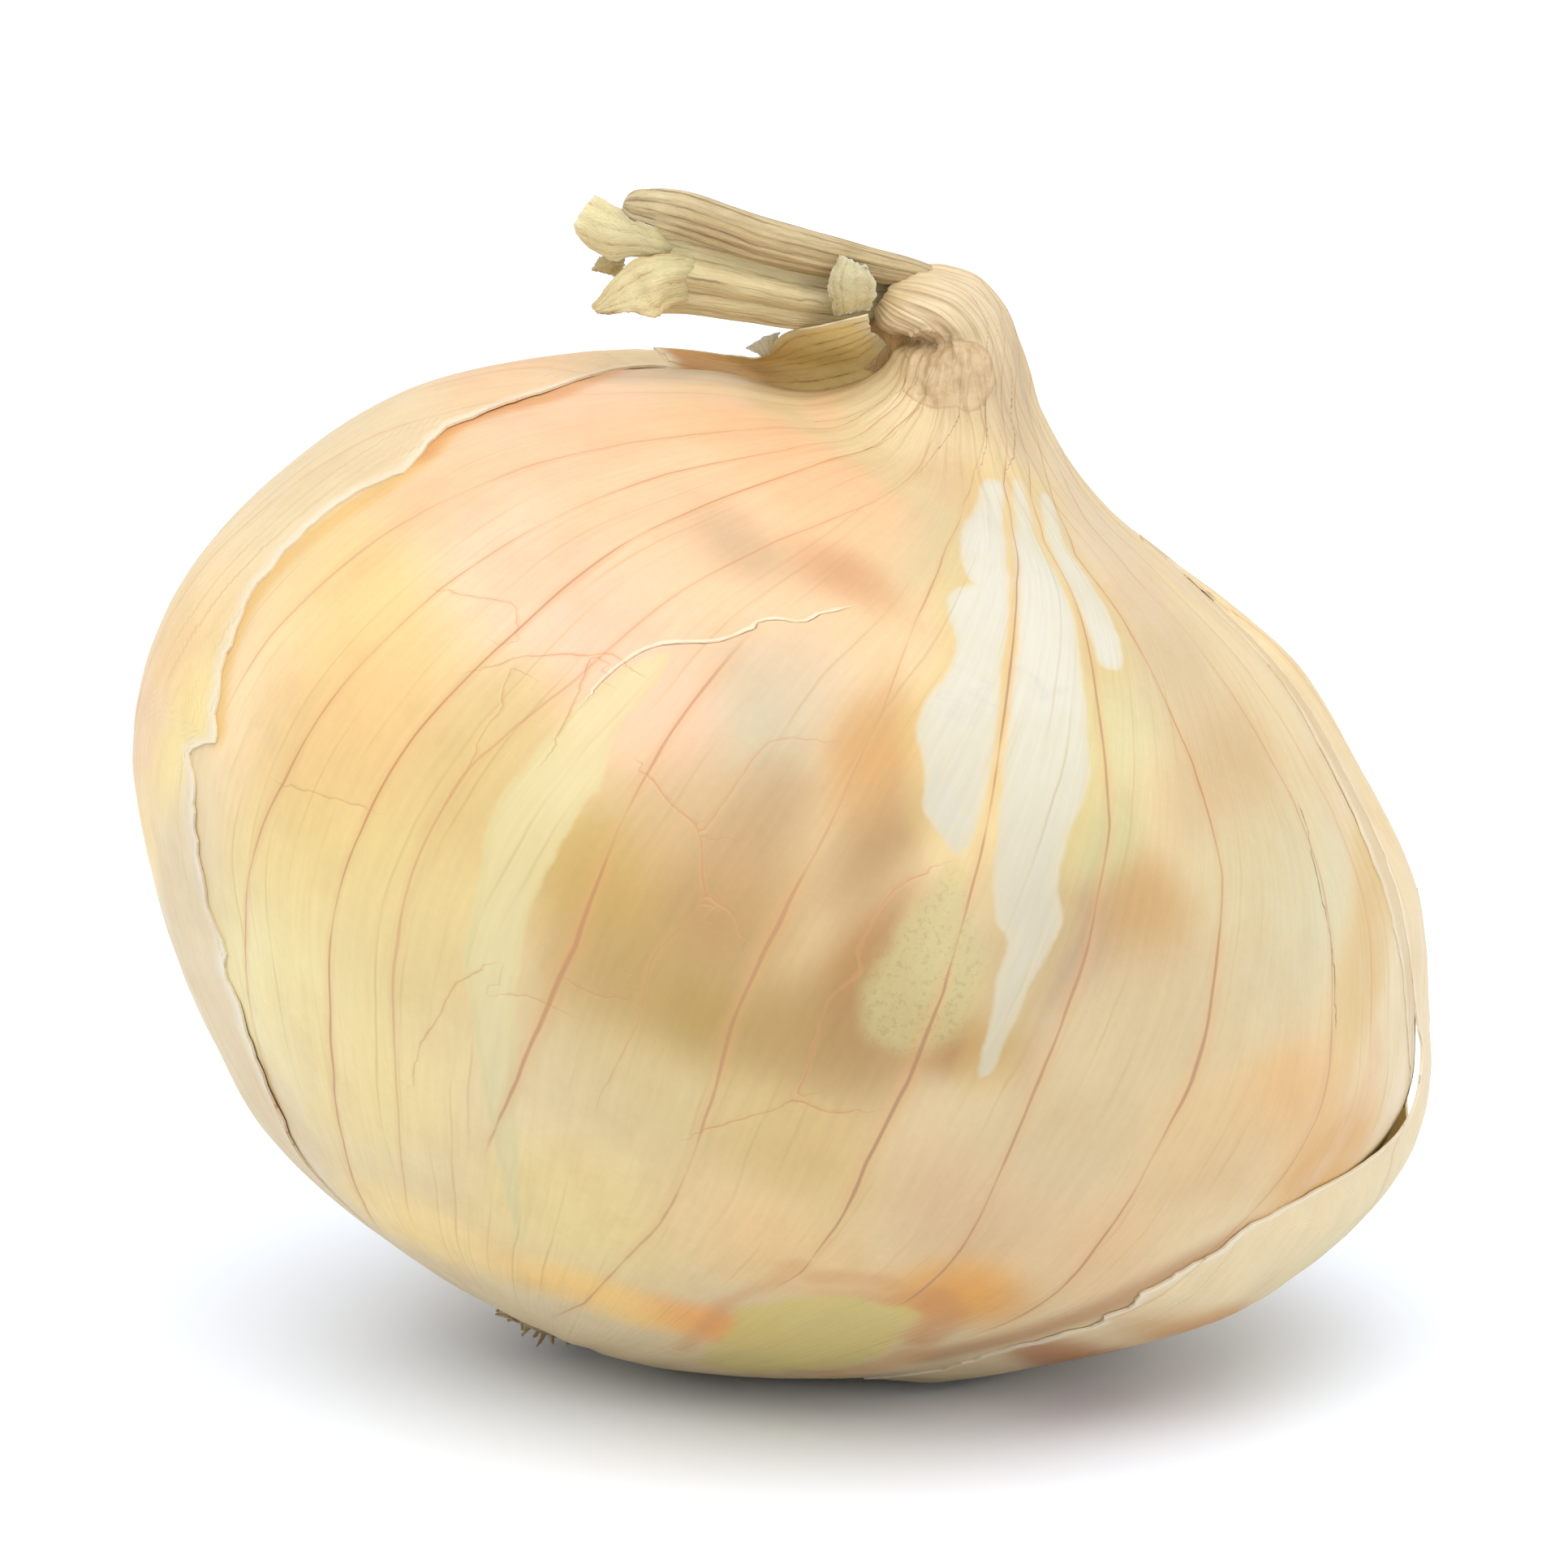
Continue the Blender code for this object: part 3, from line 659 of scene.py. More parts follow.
OUTER_PATCHES = (
    Patch(11.6, -100, 3.4, 9.9, (251, 202, 157), .9),  # top
    Patch(10.4, -81, 3.4, 8.1, (243, 214, 169), .9),  # shoulder
    Patch(9.5, -79, 4.8, 6.2, (248, 222, 178), .9),  # upper left
    Patch(8.5, -75, 4.8, 4.4, (262, 221, 158), .9),  # left
    Patch(7.1, -79, 6.2, 4.4, (255, 211, 163), .9),  # side
    Patch(7.7, -68, 3.4, 2.6, (262, 232, 154), 1.0),  # strip
    Patch(6.2, -79, 4.8, 2.6, (262, 228, 154), .9),  # low side
    Patch(7.9, 78, 3.4, 4.4, (241, 219, 171), .9),  # flap top
    Patch(6.7, 76, 3.4, 4.4, (239, 219, 162), .9),  # flap mid
    Patch(5.5, 67, 2.0, 6.2, (214, 157, 89), .9),  # flap low
    Patch(4.4, 61, 2.0, 6.2, (173, 97, 31), .9),  # flap foot
)


# Shader building


class Effect(Enum):
    """The shader effects that the finishes share."""

    FIBRES = "fibres"
    MAIN_VEINS = "main_veins"
    FINE_VEINS = "fine_veins"
    CROSS_LINES = "cross_lines"
    MOTTLE = "mottle"
    TORN_PATCH = "torn_patch"


@dataclass
class Graph:
    """Short ways to place and join shader nodes in one tree."""

    tree: bpy.types.NodeTree
    column: int = 0

    def add(self, kind: str, inputs: dict[Any, Any] | None = None, **settings: Any) -> bpy.types.Node:
        """A node with its settings, and with its inputs joined to sockets or set to values.

        Args:
            kind: The node's type name.
            inputs: Input names or numbers, each with a socket to join or a value to set.
            **settings: Properties of the node.

        Returns:
            The node.
        """
        node = self.tree.nodes.new(kind)
        self.column += 1
        node.location = (self.column % 12 * 180, -(self.column // 12) * 220)
        for key, value in settings.items():
            setattr(node, key, value)
        for key, value in (inputs or {}).items():
            self.put(node.inputs[key], value)
        return node

    def put(self, socket: Socket, value: Any) -> None:
        """Joins a socket to another one, or sets its value."""
        if isinstance(value, Socket):
            self.tree.links.new(value, socket)
        elif isinstance(value, tuple) and len(value) == 3 and socket.type == "RGBA":
            socket.default_value = (*value, 1.0)
        else:
            socket.default_value = value

    def fill(self, node: bpy.types.Node, **inputs: Any) -> bpy.types.Node:
        """A node with its inputs joined or set by name, with underscores for the names' spaces."""
        for key, value in inputs.items():
            self.put(node.inputs[key.replace("_", " ")], value)
        return node

    def math(self, operation: str, *values: Any) -> Socket:
        """The result of a Math node."""
        return self.add("ShaderNodeMath", dict(enumerate(values)), operation=operation).outputs[0]

    def plus(self, first: Any, second: Any) -> Socket:
        """A sum."""
        return self.math("ADD", first, second)

    def minus(self, first: Any, second: Any) -> Socket:
        """A difference."""
        return self.math("SUBTRACT", first, second)

    def times(self, first: Any, second: Any) -> Socket:
        """A product."""
        return self.math("MULTIPLY", first, second)

    def far(self, value: Any) -> Socket:
        """A value's distance from 0."""
        return self.math("ABSOLUTE", value)

    def swing(self, value: Any, reach: Any) -> Socket:
        """How far a value is from a half, times a reach."""
        return self.times(self.minus(value, 0.5), reach)

    def grade(self, value: Any, low: Any, high: Any, at_low: float = 0.0, at_high: float = 1.0,
              ) -> Socket:
        """A smooth grade of a value, from at_low at low to at_high at high."""
        spread = {"Value": value, "From Min": low, "From Max": high, "To Min": at_low, "To Max": at_high}
        return self.add("ShaderNodeMapRange", spread, interpolation_type="SMOOTHSTEP").outputs[0]

    def mix(self, share: Any, first: Any, second: Any, blend: str = "MIX") -> Socket:
        """Two colours mixed."""
        node = self.add("ShaderNodeMix", data_type="RGBA", blend_type=blend, clamp_factor=True)
        for number, value in ((0, share), (6, first), (7, second)):
            self.put(node.inputs[number], value)
        return node.outputs[2]

    def paint(self, colour: Any, mask: Any, strength: float, tone: Tone) -> Socket:
        """A colour painted over with a screen's colour, where a mask is and as strongly as given."""
        return self.mix(self.times(mask, strength), colour, srgb(*tone))

    def shade(self, colour: Any, value: Any, depth: Any) -> Socket:
        """A colour made lighter or darker as a value is above or below a half."""
        level = self.plus(1.0, self.swing(value, depth))
        gray = self.add("ShaderNodeCombineXYZ", {0: level, 1: level, 2: level}).outputs[0]
        return self.mix(1.0, colour, gray, "MULTIPLY")

    def noise(self, place: Any, scale: Any, detail: float = 3.0, roughness: float = 0.55) -> Socket:
        """The value of a Noise texture."""
        spread = {"Vector": place, "Scale": scale, "Detail": detail, "Roughness": roughness}
        return self.add("ShaderNodeTexNoise", spread).outputs["Fac"]

    def noise_pair(self, x: Any, y: Any, scale: float, detail: float = 2.0) -> Socket:
        """The value of a Noise texture on two numbers."""
        place = self.add("ShaderNodeCombineXYZ", {0: x, 1: y}).outputs[0]
        spread = {"Vector": place, "Scale": scale, "Detail": detail}
        return self.add("ShaderNodeTexNoise", spread, noise_dimensions="2D").outputs["Fac"]

    def field(self, name: str, output: str = "Fac") -> Socket:
        """A named field of the mesh."""
        return self.add("ShaderNodeAttribute", attribute_name=name).outputs[output]

    def place(self) -> Socket:
        """The piece's own coordinates, in metres."""
        return self.add("ShaderNodeTexCoord").outputs["Object"]

    def grain(self) -> tuple[Socket, Socket]:
        """The piece's grain map, across and along."""
        axes = self.add("ShaderNodeSeparateXYZ", {0: self.add("ShaderNodeUVMap", uv_map="grain").outputs["UV"]})
        return axes.outputs[0], axes.outputs[1]

    def bump(self, height: Any, strength: float, distance: float) -> Socket:
        """The normal that a height gives, with its distance in metres."""
        values = {"Height": height, "Strength": strength, "Distance": distance}
        return self.add("ShaderNodeBump", values).outputs[0]

    def use(self, effect: Effect, **inputs: Any) -> bpy.types.Node:
        """A shared effect placed in the tree, with its inputs given as fill takes them."""
        return self.fill(self.add("ShaderNodeGroup", node_tree=bpy.data.node_groups[effect.value]), **inputs)


def new_group(effect: Effect, inputs: dict[str, Any], *outputs: str,
              ) -> tuple[Graph, dict[str, Socket], bpy.types.Node]:
    """An empty shader node group with named sockets.

    Args:
        effect: The effect that the group makes.
        inputs: Names with default values: a number, a colour or a vector of three numbers.
        *outputs: Names of values, and Color for a colour.

    Returns:
        The group's graph, its inputs' sockets by name, and its output node.
    """
    tree = bpy.data.node_groups.new(effect.value, "ShaderNodeTree")
    for key, value in inputs.items():
        kind = "NodeSocketFloat"
        if isinstance(value, tuple):
            kind = "NodeSocketColor" if key.endswith("Colour") else "NodeSocketVector"
        socket = tree.interface.new_socket(key, in_out="INPUT", socket_type=kind)
        socket.default_value = (*value, 1.0) if kind == "NodeSocketColor" else value
    for key in outputs:
        kind = "NodeSocketColor" if key == "Color" else "NodeSocketFloat"
        tree.interface.new_socket(key, in_out="OUTPUT", socket_type=kind)
    graph = Graph(tree)
    entry = graph.add("NodeGroupInput")
    return graph, {key: entry.outputs[key] for key in inputs}, graph.add("NodeGroupOutput")


@dataclass(frozen=True)
class EffectLibrary:
    """Builds each shared effect once."""

    def build(self) -> None:
        """Builds all the groups, each by the method of its name."""
        for effect in Effect:
            getattr(self, effect.value)()

    def fibres(self) -> None:
        """Fine pale and dark threads along a skin, as a value about 0.5 and as a height."""
        g, at, out = new_group(Effect.FIBRES, {"Across": 0.0, "Along": 0.0, "Count": 500.0, "Length": 5.0},
                               "Value", "Height")
        x = g.times(at["Across"], at["Count"])
        coarse = g.noise_pair(g.times(x, 0.25), g.times(at["Along"], at["Length"]), 1.0)
        y = g.times(at["Along"], g.times(at["Length"], 3.0))
        thin = g.noise_pair(x, y, 1.0, 1.0)
        g.fill(out, Value=g.plus(g.times(thin, 0.6), g.times(coarse, 0.4)), Height=thin)

    def main_veins(self) -> None:
        """Strong veins at the whole numbers of a phase, soft at both sides, broken and wandering a little."""
        g, at, out = new_group(
            Effect.MAIN_VEINS,
            {"Phase": 0.0, "Along": 0.0, "Strength": 1.0, "Width": 0.017, "Wander": 0.07, "Seed": 0.0},
            "Line", "Halo",
        )
        index = g.math("ROUND", at["Phase"])
        seeded = g.plus(index, at["Seed"])
        shift = g.noise_pair(g.times(seeded, 7.3), g.times(at["Along"], 13.0), 1.0, 2.0)
        drift = g.swing(shift, at["Wander"])
        gap = g.far(g.minus(g.plus(at["Phase"], drift), index))
        body = g.noise_pair(g.times(seeded, 3.1), g.times(at["Along"], 16.0), 1.0, 3.0)
        width = g.times(at["Width"], g.grade(body, 0.3, 0.75, 0.7, 1.35))
        line = g.grade(g.math("DIVIDE", gap, width), 1.0, 0.25)
        halo = g.grade(g.math("DIVIDE", gap, g.times(width, 5.5)), 1.0, 0.0)
        fade = g.grade(body, 0.22, 0.5, 0.25, 1.0)
        shown = g.times(at["Strength"], fade)
        g.fill(out, Line=g.times(line, shown), Halo=g.times(halo, shown))

    def fine_veins(self) -> None:
        """Many thin veins side by side, each of its own strength, that fade in and out along the skin."""
        g, at, out = new_group(
            Effect.FINE_VEINS,
            {"Across": 0.0, "Along": 0.0, "Count": 90.0, "Width": 0.1, "Wander": 0.5, "Share": 0.6, "Seed": 0.0},
            "Line", "Ridge",
        )
        x = g.plus(g.times(at["Across"], at["Count"]), at["Seed"])
        bend = g.noise_pair(g.times(x, 0.22), g.times(at["Along"], 14.0), 1.0, 3.0)
        x = g.plus(x, g.swing(bend, at["Wander"]))
        edge = g.add("ShaderNodeTexVoronoi", {"W": x, "Scale": 1.0, "Randomness": 0.9},
                     voronoi_dimensions="1D", feature="DISTANCE_TO_EDGE").outputs["Distance"]
        cell = g.math("ROUND", x)
        own = g.noise_pair(g.times(cell, 5.7), g.times(at["Along"], 9.0), 1.0, 3.0)
        strength = g.grade(own, g.minus(0.85, at["Share"]), 0.75)
        g.fill(out, Line=g.times(g.grade(edge, at["Width"], 0.0), strength),
               Ridge=g.grade(edge, g.times(at["Width"], 3.0), 0.0))

    def cross_lines(self) -> None:
        """Lines where a signed distance in millimetres is 0, roughened by noise, within a shown field."""
        g, at, out = new_group(
            Effect.CROSS_LINES,
            {"Place": (0.0, 0.0, 0.0), "Offset": 0.0, "Shown": 0.0, "Width": 0.3, "Wander": 0.6},
            "Line", "Halo",
        )
        shift = g.swing(g.noise(at["Place"], 420.0, 3.0), at["Wander"])
        gap = g.far(g.plus(at["Offset"], shift))
        body = g.noise(at["Place"], 700.0, 2.0)
        width = g.times(at["Width"], g.grade(body, 0.3, 0.7, 0.5, 1.4))
        line = g.grade(g.math("DIVIDE", gap, width), 1.0, 0.2)
        halo = g.grade(g.math("DIVIDE", gap, g.times(width, 3.5)), 1.0, 0.0)
        g.fill(out, Line=g.times(line, at["Shown"]), Halo=g.times(halo, at["Shown"]))

    def mottle(self) -> None:
        """A colour varied in broad soft clouds and in fine grain."""
        g, at, out = new_group(
            Effect.MOTTLE,
            {"Place": (0.0, 0.0, 0.0), "Base Colour": (0.5, 0.5, 0.5), "Deep Colour": (0.4, 0.3, 0.1),
             "Clouds": 0.3, "Grain": 0.1, "Scale": 130.0},
            "Color",
        )
        cloud = g.noise(at["Place"], at["Scale"], 4.0, 0.6)
        share = g.times(g.grade(cloud, 0.42, 0.75), at["Clouds"])
        colour = g.mix(share, at["Base Colour"], at["Deep Colour"])
        grain = g.noise(at["Place"], g.times(at["Scale"], 14.0), 3.0, 0.7)
        g.fill(out, Color=g.shade(colour, grain, at["Grain"]))

    def torn_patch(self) -> None:
        """A mask inside an outline, with a ragged border, and a thin rim just inside it."""
        g, at, out = new_group(
            Effect.TORN_PATCH,
            {"Place": (0.0, 0.0, 0.0), "Depth": 0.0, "Ragged": 1.2, "Scale": 500.0, "Soft": 0.25, "Rim": 0.5},
            "Mask", "Rim",
        )
        depth = g.plus(at["Depth"], g.swing(g.noise(at["Place"], at["Scale"], 5.0, 0.6), at["Ragged"]))
        g.fill(out, Mask=g.grade(depth, 0.0, at["Soft"]),
               Rim=g.grade(g.far(g.minus(depth, at["Soft"])), at["Rim"], 0.0))


# Finishes


def new_material(name: str) -> tuple[bpy.types.Material, Graph, bpy.types.Node]:
    """A material with its graph and its Principled shader."""
    material = bpy.data.materials.new(name)
    material.use_nodes = True
    material.node_tree.nodes.clear()
    graph = Graph(material.node_tree)
    shader = graph.add("ShaderNodeBsdfPrincipled")
    output = graph.add("ShaderNodeOutputMaterial")
    graph.put(output.inputs["Surface"], shader.outputs["BSDF"])
    return material, graph, shader


@dataclass(frozen=True)
class SkinFinish:
    """Dry onion skin over a broad tint, with threads, veins and the marks that its options switch on."""

    name: str
    roughness: float = 0.42
    glow: float = 0.12
    relief: float = 0.35
    thread_shade: float = 0.16
    deep: Tone = (205, 160, 96)
    clouds: float = 0.22
    vein: Tone = (196, 132, 88)
    dark_vein: Tone = (118, 96, 78)
    vein_halo: Tone = (226, 172, 112)
    fine_vein: Tone = (190, 160, 92)
    white: Tone = (227, 224, 209)
    white_low: Tone = (205, 197, 172)
    olive: Tone = (200, 186, 128)
    pale_strip: Tone = (227, 213, 159)
    yellow: Tone = (222, 200, 116)
    orange: Tone = (214, 150, 84)
    marked: bool = True

    def build(self) -> bpy.types.Material:
        """The material."""
        material, g, shader = new_material(self.name)
        place, (u, v) = g.place(), g.grain()
        mottled = g.use(Effect.MOTTLE, Place=place, Base_Colour=g.field("tint", "Color"),
                        Deep_Colour=srgb(*self.deep), Clouds=self.clouds, Grain=0.10).outputs["Color"]
        colour = self.add_patches(g, place, mottled) if self.marked else mottled
        fibres = g.use(Effect.FIBRES, Across=u, Along=v, Count=520.0, Length=9.0)
        colour = g.shade(colour, fibres.outputs["Value"], self.thread_shade)
        thin = g.use(Effect.FINE_VEINS, Across=u, Along=v, Count=128.0, Width=0.09, Share=0.42)
        colour = g.paint(colour, thin.outputs["Line"], 0.4, self.fine_vein)
        main = g.use(Effect.MAIN_VEINS, Phase=g.field("vein_phase"), Along=v, Strength=g.field("vein_strength"))
        tone = g.mix(g.field("vein_dark"), srgb(*self.vein), srgb(*self.dark_vein))
        colour = g.paint(colour, main.outputs["Halo"], 0.38, self.vein_halo)
        colour = g.mix(g.times(main.outputs["Line"], 0.72), colour, tone)
        height = g.plus(g.times(fibres.outputs["Height"], 0.4),
                        g.times(main.outputs["Halo"], -0.5))
        if self.marked:
            cross = g.use(Effect.CROSS_LINES, Place=place, Offset=g.field("branch_offset"),
                          Shown=g.field("branch_near"), Width=0.085, Wander=0.4)
            colour = g.paint(colour, cross.outputs["Halo"], 0.22, self.vein_halo)
            colour = g.paint(colour, cross.outputs["Line"], 0.5, self.vein)
            height = g.minus(height, g.times(cross.outputs["Halo"], 0.4))
            colour = self.add_crack(g, place, colour)
            colour = self.add_neck(g, u, v, colour)
        wrinkle = g.noise(place, 260.0, 4.0, 0.6)
        height = g.plus(height, g.times(wrinkle, 0.5))
        rough = g.grade(g.noise(place, 300.0, 3.0), 0.3, 0.7, self.roughness - 0.05, self.roughness + 0.08)
        g.fill(shader, Normal=g.bump(height, self.relief, 0.00022), Base_Color=colour, Roughness=rough,
               Subsurface_Weight=self.glow, Subsurface_Radius=(1.0, 0.55, 0.25), Subsurface_Scale=0.0022,
               Specular_IOR_Level=0.42)
        return material

    def add_patches(self, g: Graph, place: Socket, colour: Socket,
                    ) -> Socket:
        """The pale strip, the olive and yellow patches, and the white patch with its torn border."""
        strip = g.use(Effect.TORN_PATCH, Place=place, Depth=g.field("strip_depth"), Ragged=0.9, Soft=0.5,
                      Rim=0.35)
        colour = g.paint(colour, strip.outputs["Mask"], 0.7, self.pale_strip)
        colour = g.paint(colour, strip.outputs["Rim"], 0.22, (214, 196, 128))
        olive = g.use(Effect.TORN_PATCH, Place=place, Depth=g.field("olive_depth"), Ragged=2.2, Scale=260.0,
                      Soft=1.8, Rim=0.8)
        specks = g.grade(g.noise(place, 2600.0, 2.0, 0.7), 0.5, 0.68, 0.0, 0.35)
        mossy = g.mix(specks, srgb(*self.olive), srgb(150, 132, 84))
        colour = g.mix(g.times(olive.outputs["Mask"], 0.75), colour, mossy)
        wander = g.grade(g.noise(place, 120.0, 3.0), 0.3, 0.7, -1.3, 1.3)
        border = g.grade(g.far(g.plus(g.field("yellow_depth"), wander)), 2.6, 0.3)
        uneven = g.grade(g.noise(place, 90.0, 2.0), 0.35, 0.65, 0.1, 0.5)
        colour = g.mix(g.times(border, uneven), colour, srgb(*self.orange))
        yellow = g.use(Effect.TORN_PATCH, Place=place, Depth=g.field("yellow_depth"), Ragged=1.6, Scale=240.0,
                       Soft=1.4, Rim=0.9)
        colour = g.paint(colour, yellow.outputs["Mask"], 0.9, self.yellow)
        white = g.use(Effect.TORN_PATCH, Place=place, Depth=g.field("white_depth"), Ragged=0.7, Scale=420.0,
                      Soft=0.42, Rim=0.4)
        halo = g.grade(g.far(g.field("white_depth")), 1.8, 0.2)
        colour = g.paint(colour, halo, 0.3, (222, 196, 122))
        cloudy = g.mix(g.grade(g.noise(place, 150.0, 3.0), 0.35, 0.7), srgb(*self.white), srgb(222, 217, 196))
        low_share = g.grade(g.field("height_along"), 12.2, 9.8)
        cloudy = g.mix(low_share, cloudy, srgb(*self.white_low))
        # grey lines painted along the white film's wrinkles, as painted shade in its creases
        folded = g.times(g.grade(g.far(g.field("fold_offset")), 0.6, 0.0),
                        g.field("fold_near"))
        uneven = g.grade(g.noise(place, 500.0, 2.0), 0.35, 0.6, 0.05, 0.38)
        cloudy = g.mix(g.times(folded, uneven), cloudy, srgb(204, 205, 198))
        colour = g.mix(g.times(white.outputs["Mask"], 0.88), colour, cloudy)
        colour = g.paint(colour, white.outputs["Rim"], 0.16, (226, 198, 140))
        streak = g.times(g.grade(g.far(g.field("streak_offset")), 0.13, 0.03),
                        g.field("streak_near"))
        broken = g.grade(g.noise(place, 900.0, 3.0), 0.35, 0.55, 0.3, 0.85)
        return g.mix(g.times(streak, broken), colour, srgb(112, 96, 70))

    def add_crack(self, g: Graph, place: Socket, colour: Socket,
                  ) -> Socket:
        """The open crack's pale lips, and its dark gap, which is painted shadow under the lips."""
        gap = g.use(Effect.CROSS_LINES, Place=place, Offset=g.field("crack_offset"),
                    Shown=g.field("crack_near"), Width=0.07, Wander=0.2)
        lip = g.use(Effect.CROSS_LINES, Place=place, Offset=g.plus(g.field("crack_offset"), 0.2),
                    Shown=g.field("crack_near"), Width=0.16, Wander=0.2)
        colour = g.paint(colour, lip.outputs["Line"], 0.75, (248, 232, 202))
        # painted shadow in the crack's gap
        return g.paint(colour, gap.outputs["Line"], 0.85, (146, 104, 70))

    def add_neck(self, g: Graph, u: Socket, v: Socket, colour: Socket,
                 ) -> Socket:
        """Closer veins and brown streaks where the skin draws in to the neck, the crumpled sleeve, and a painted
        shadow line along the sleeve's border.
        """
        high = g.grade(v, 13.2 / 23, 16.5 / 23)
        lines = g.use(Effect.FINE_VEINS, Across=u, Along=v, Count=46.0, Width=0.13, Share=0.7, Seed=5.0,
                      Wander=0.3)
        colour = g.paint(colour, g.times(lines.outputs["Line"], high), 0.5, (168, 128, 84))
        streak = g.noise_pair(g.times(u, 60.0), g.times(v, 5.0), 1.0, 3.0)
        shade = g.times(g.grade(streak, 0.5, 0.72), high)
        colour = g.paint(colour, shade, 0.35, (190, 160, 116))
        drawn = g.use(Effect.CROSS_LINES, Place=g.place(), Offset=g.field("neck_line_offset"),
                      Shown=g.field("neck_line_near"), Width=0.07, Wander=0.15)
        colour = g.paint(colour, drawn.outputs["Line"], 0.7, (150, 112, 74))
        sleeve = g.use(Effect.TORN_PATCH, Place=g.place(), Depth=g.field("sleeve_depth"), Ragged=0.9,
                       Scale=900.0, Soft=0.2, Rim=0.16)
        dust = g.grade(g.noise(g.place(), 900.0, 4.0, 0.7), 0.4, 0.65)
        dusty = g.mix(dust, srgb(214, 182, 140), srgb(186, 150, 108))
        colour = g.mix(g.times(sleeve.outputs["Mask"], 0.6), colour, dusty)
        # painted shadow line along the crumpled sleeve's border
        return g.paint(colour, sleeve.outputs["Rim"], 0.35, (170, 130, 92))


# The bulb


@dataclass(frozen=True)
class Band:
    """A soft band of colour along some places, full to its core and gone at its fade, in millimetres."""

    places: Places
    tone: Tone
    core: float
    fade: float
    strength: float = 0.8


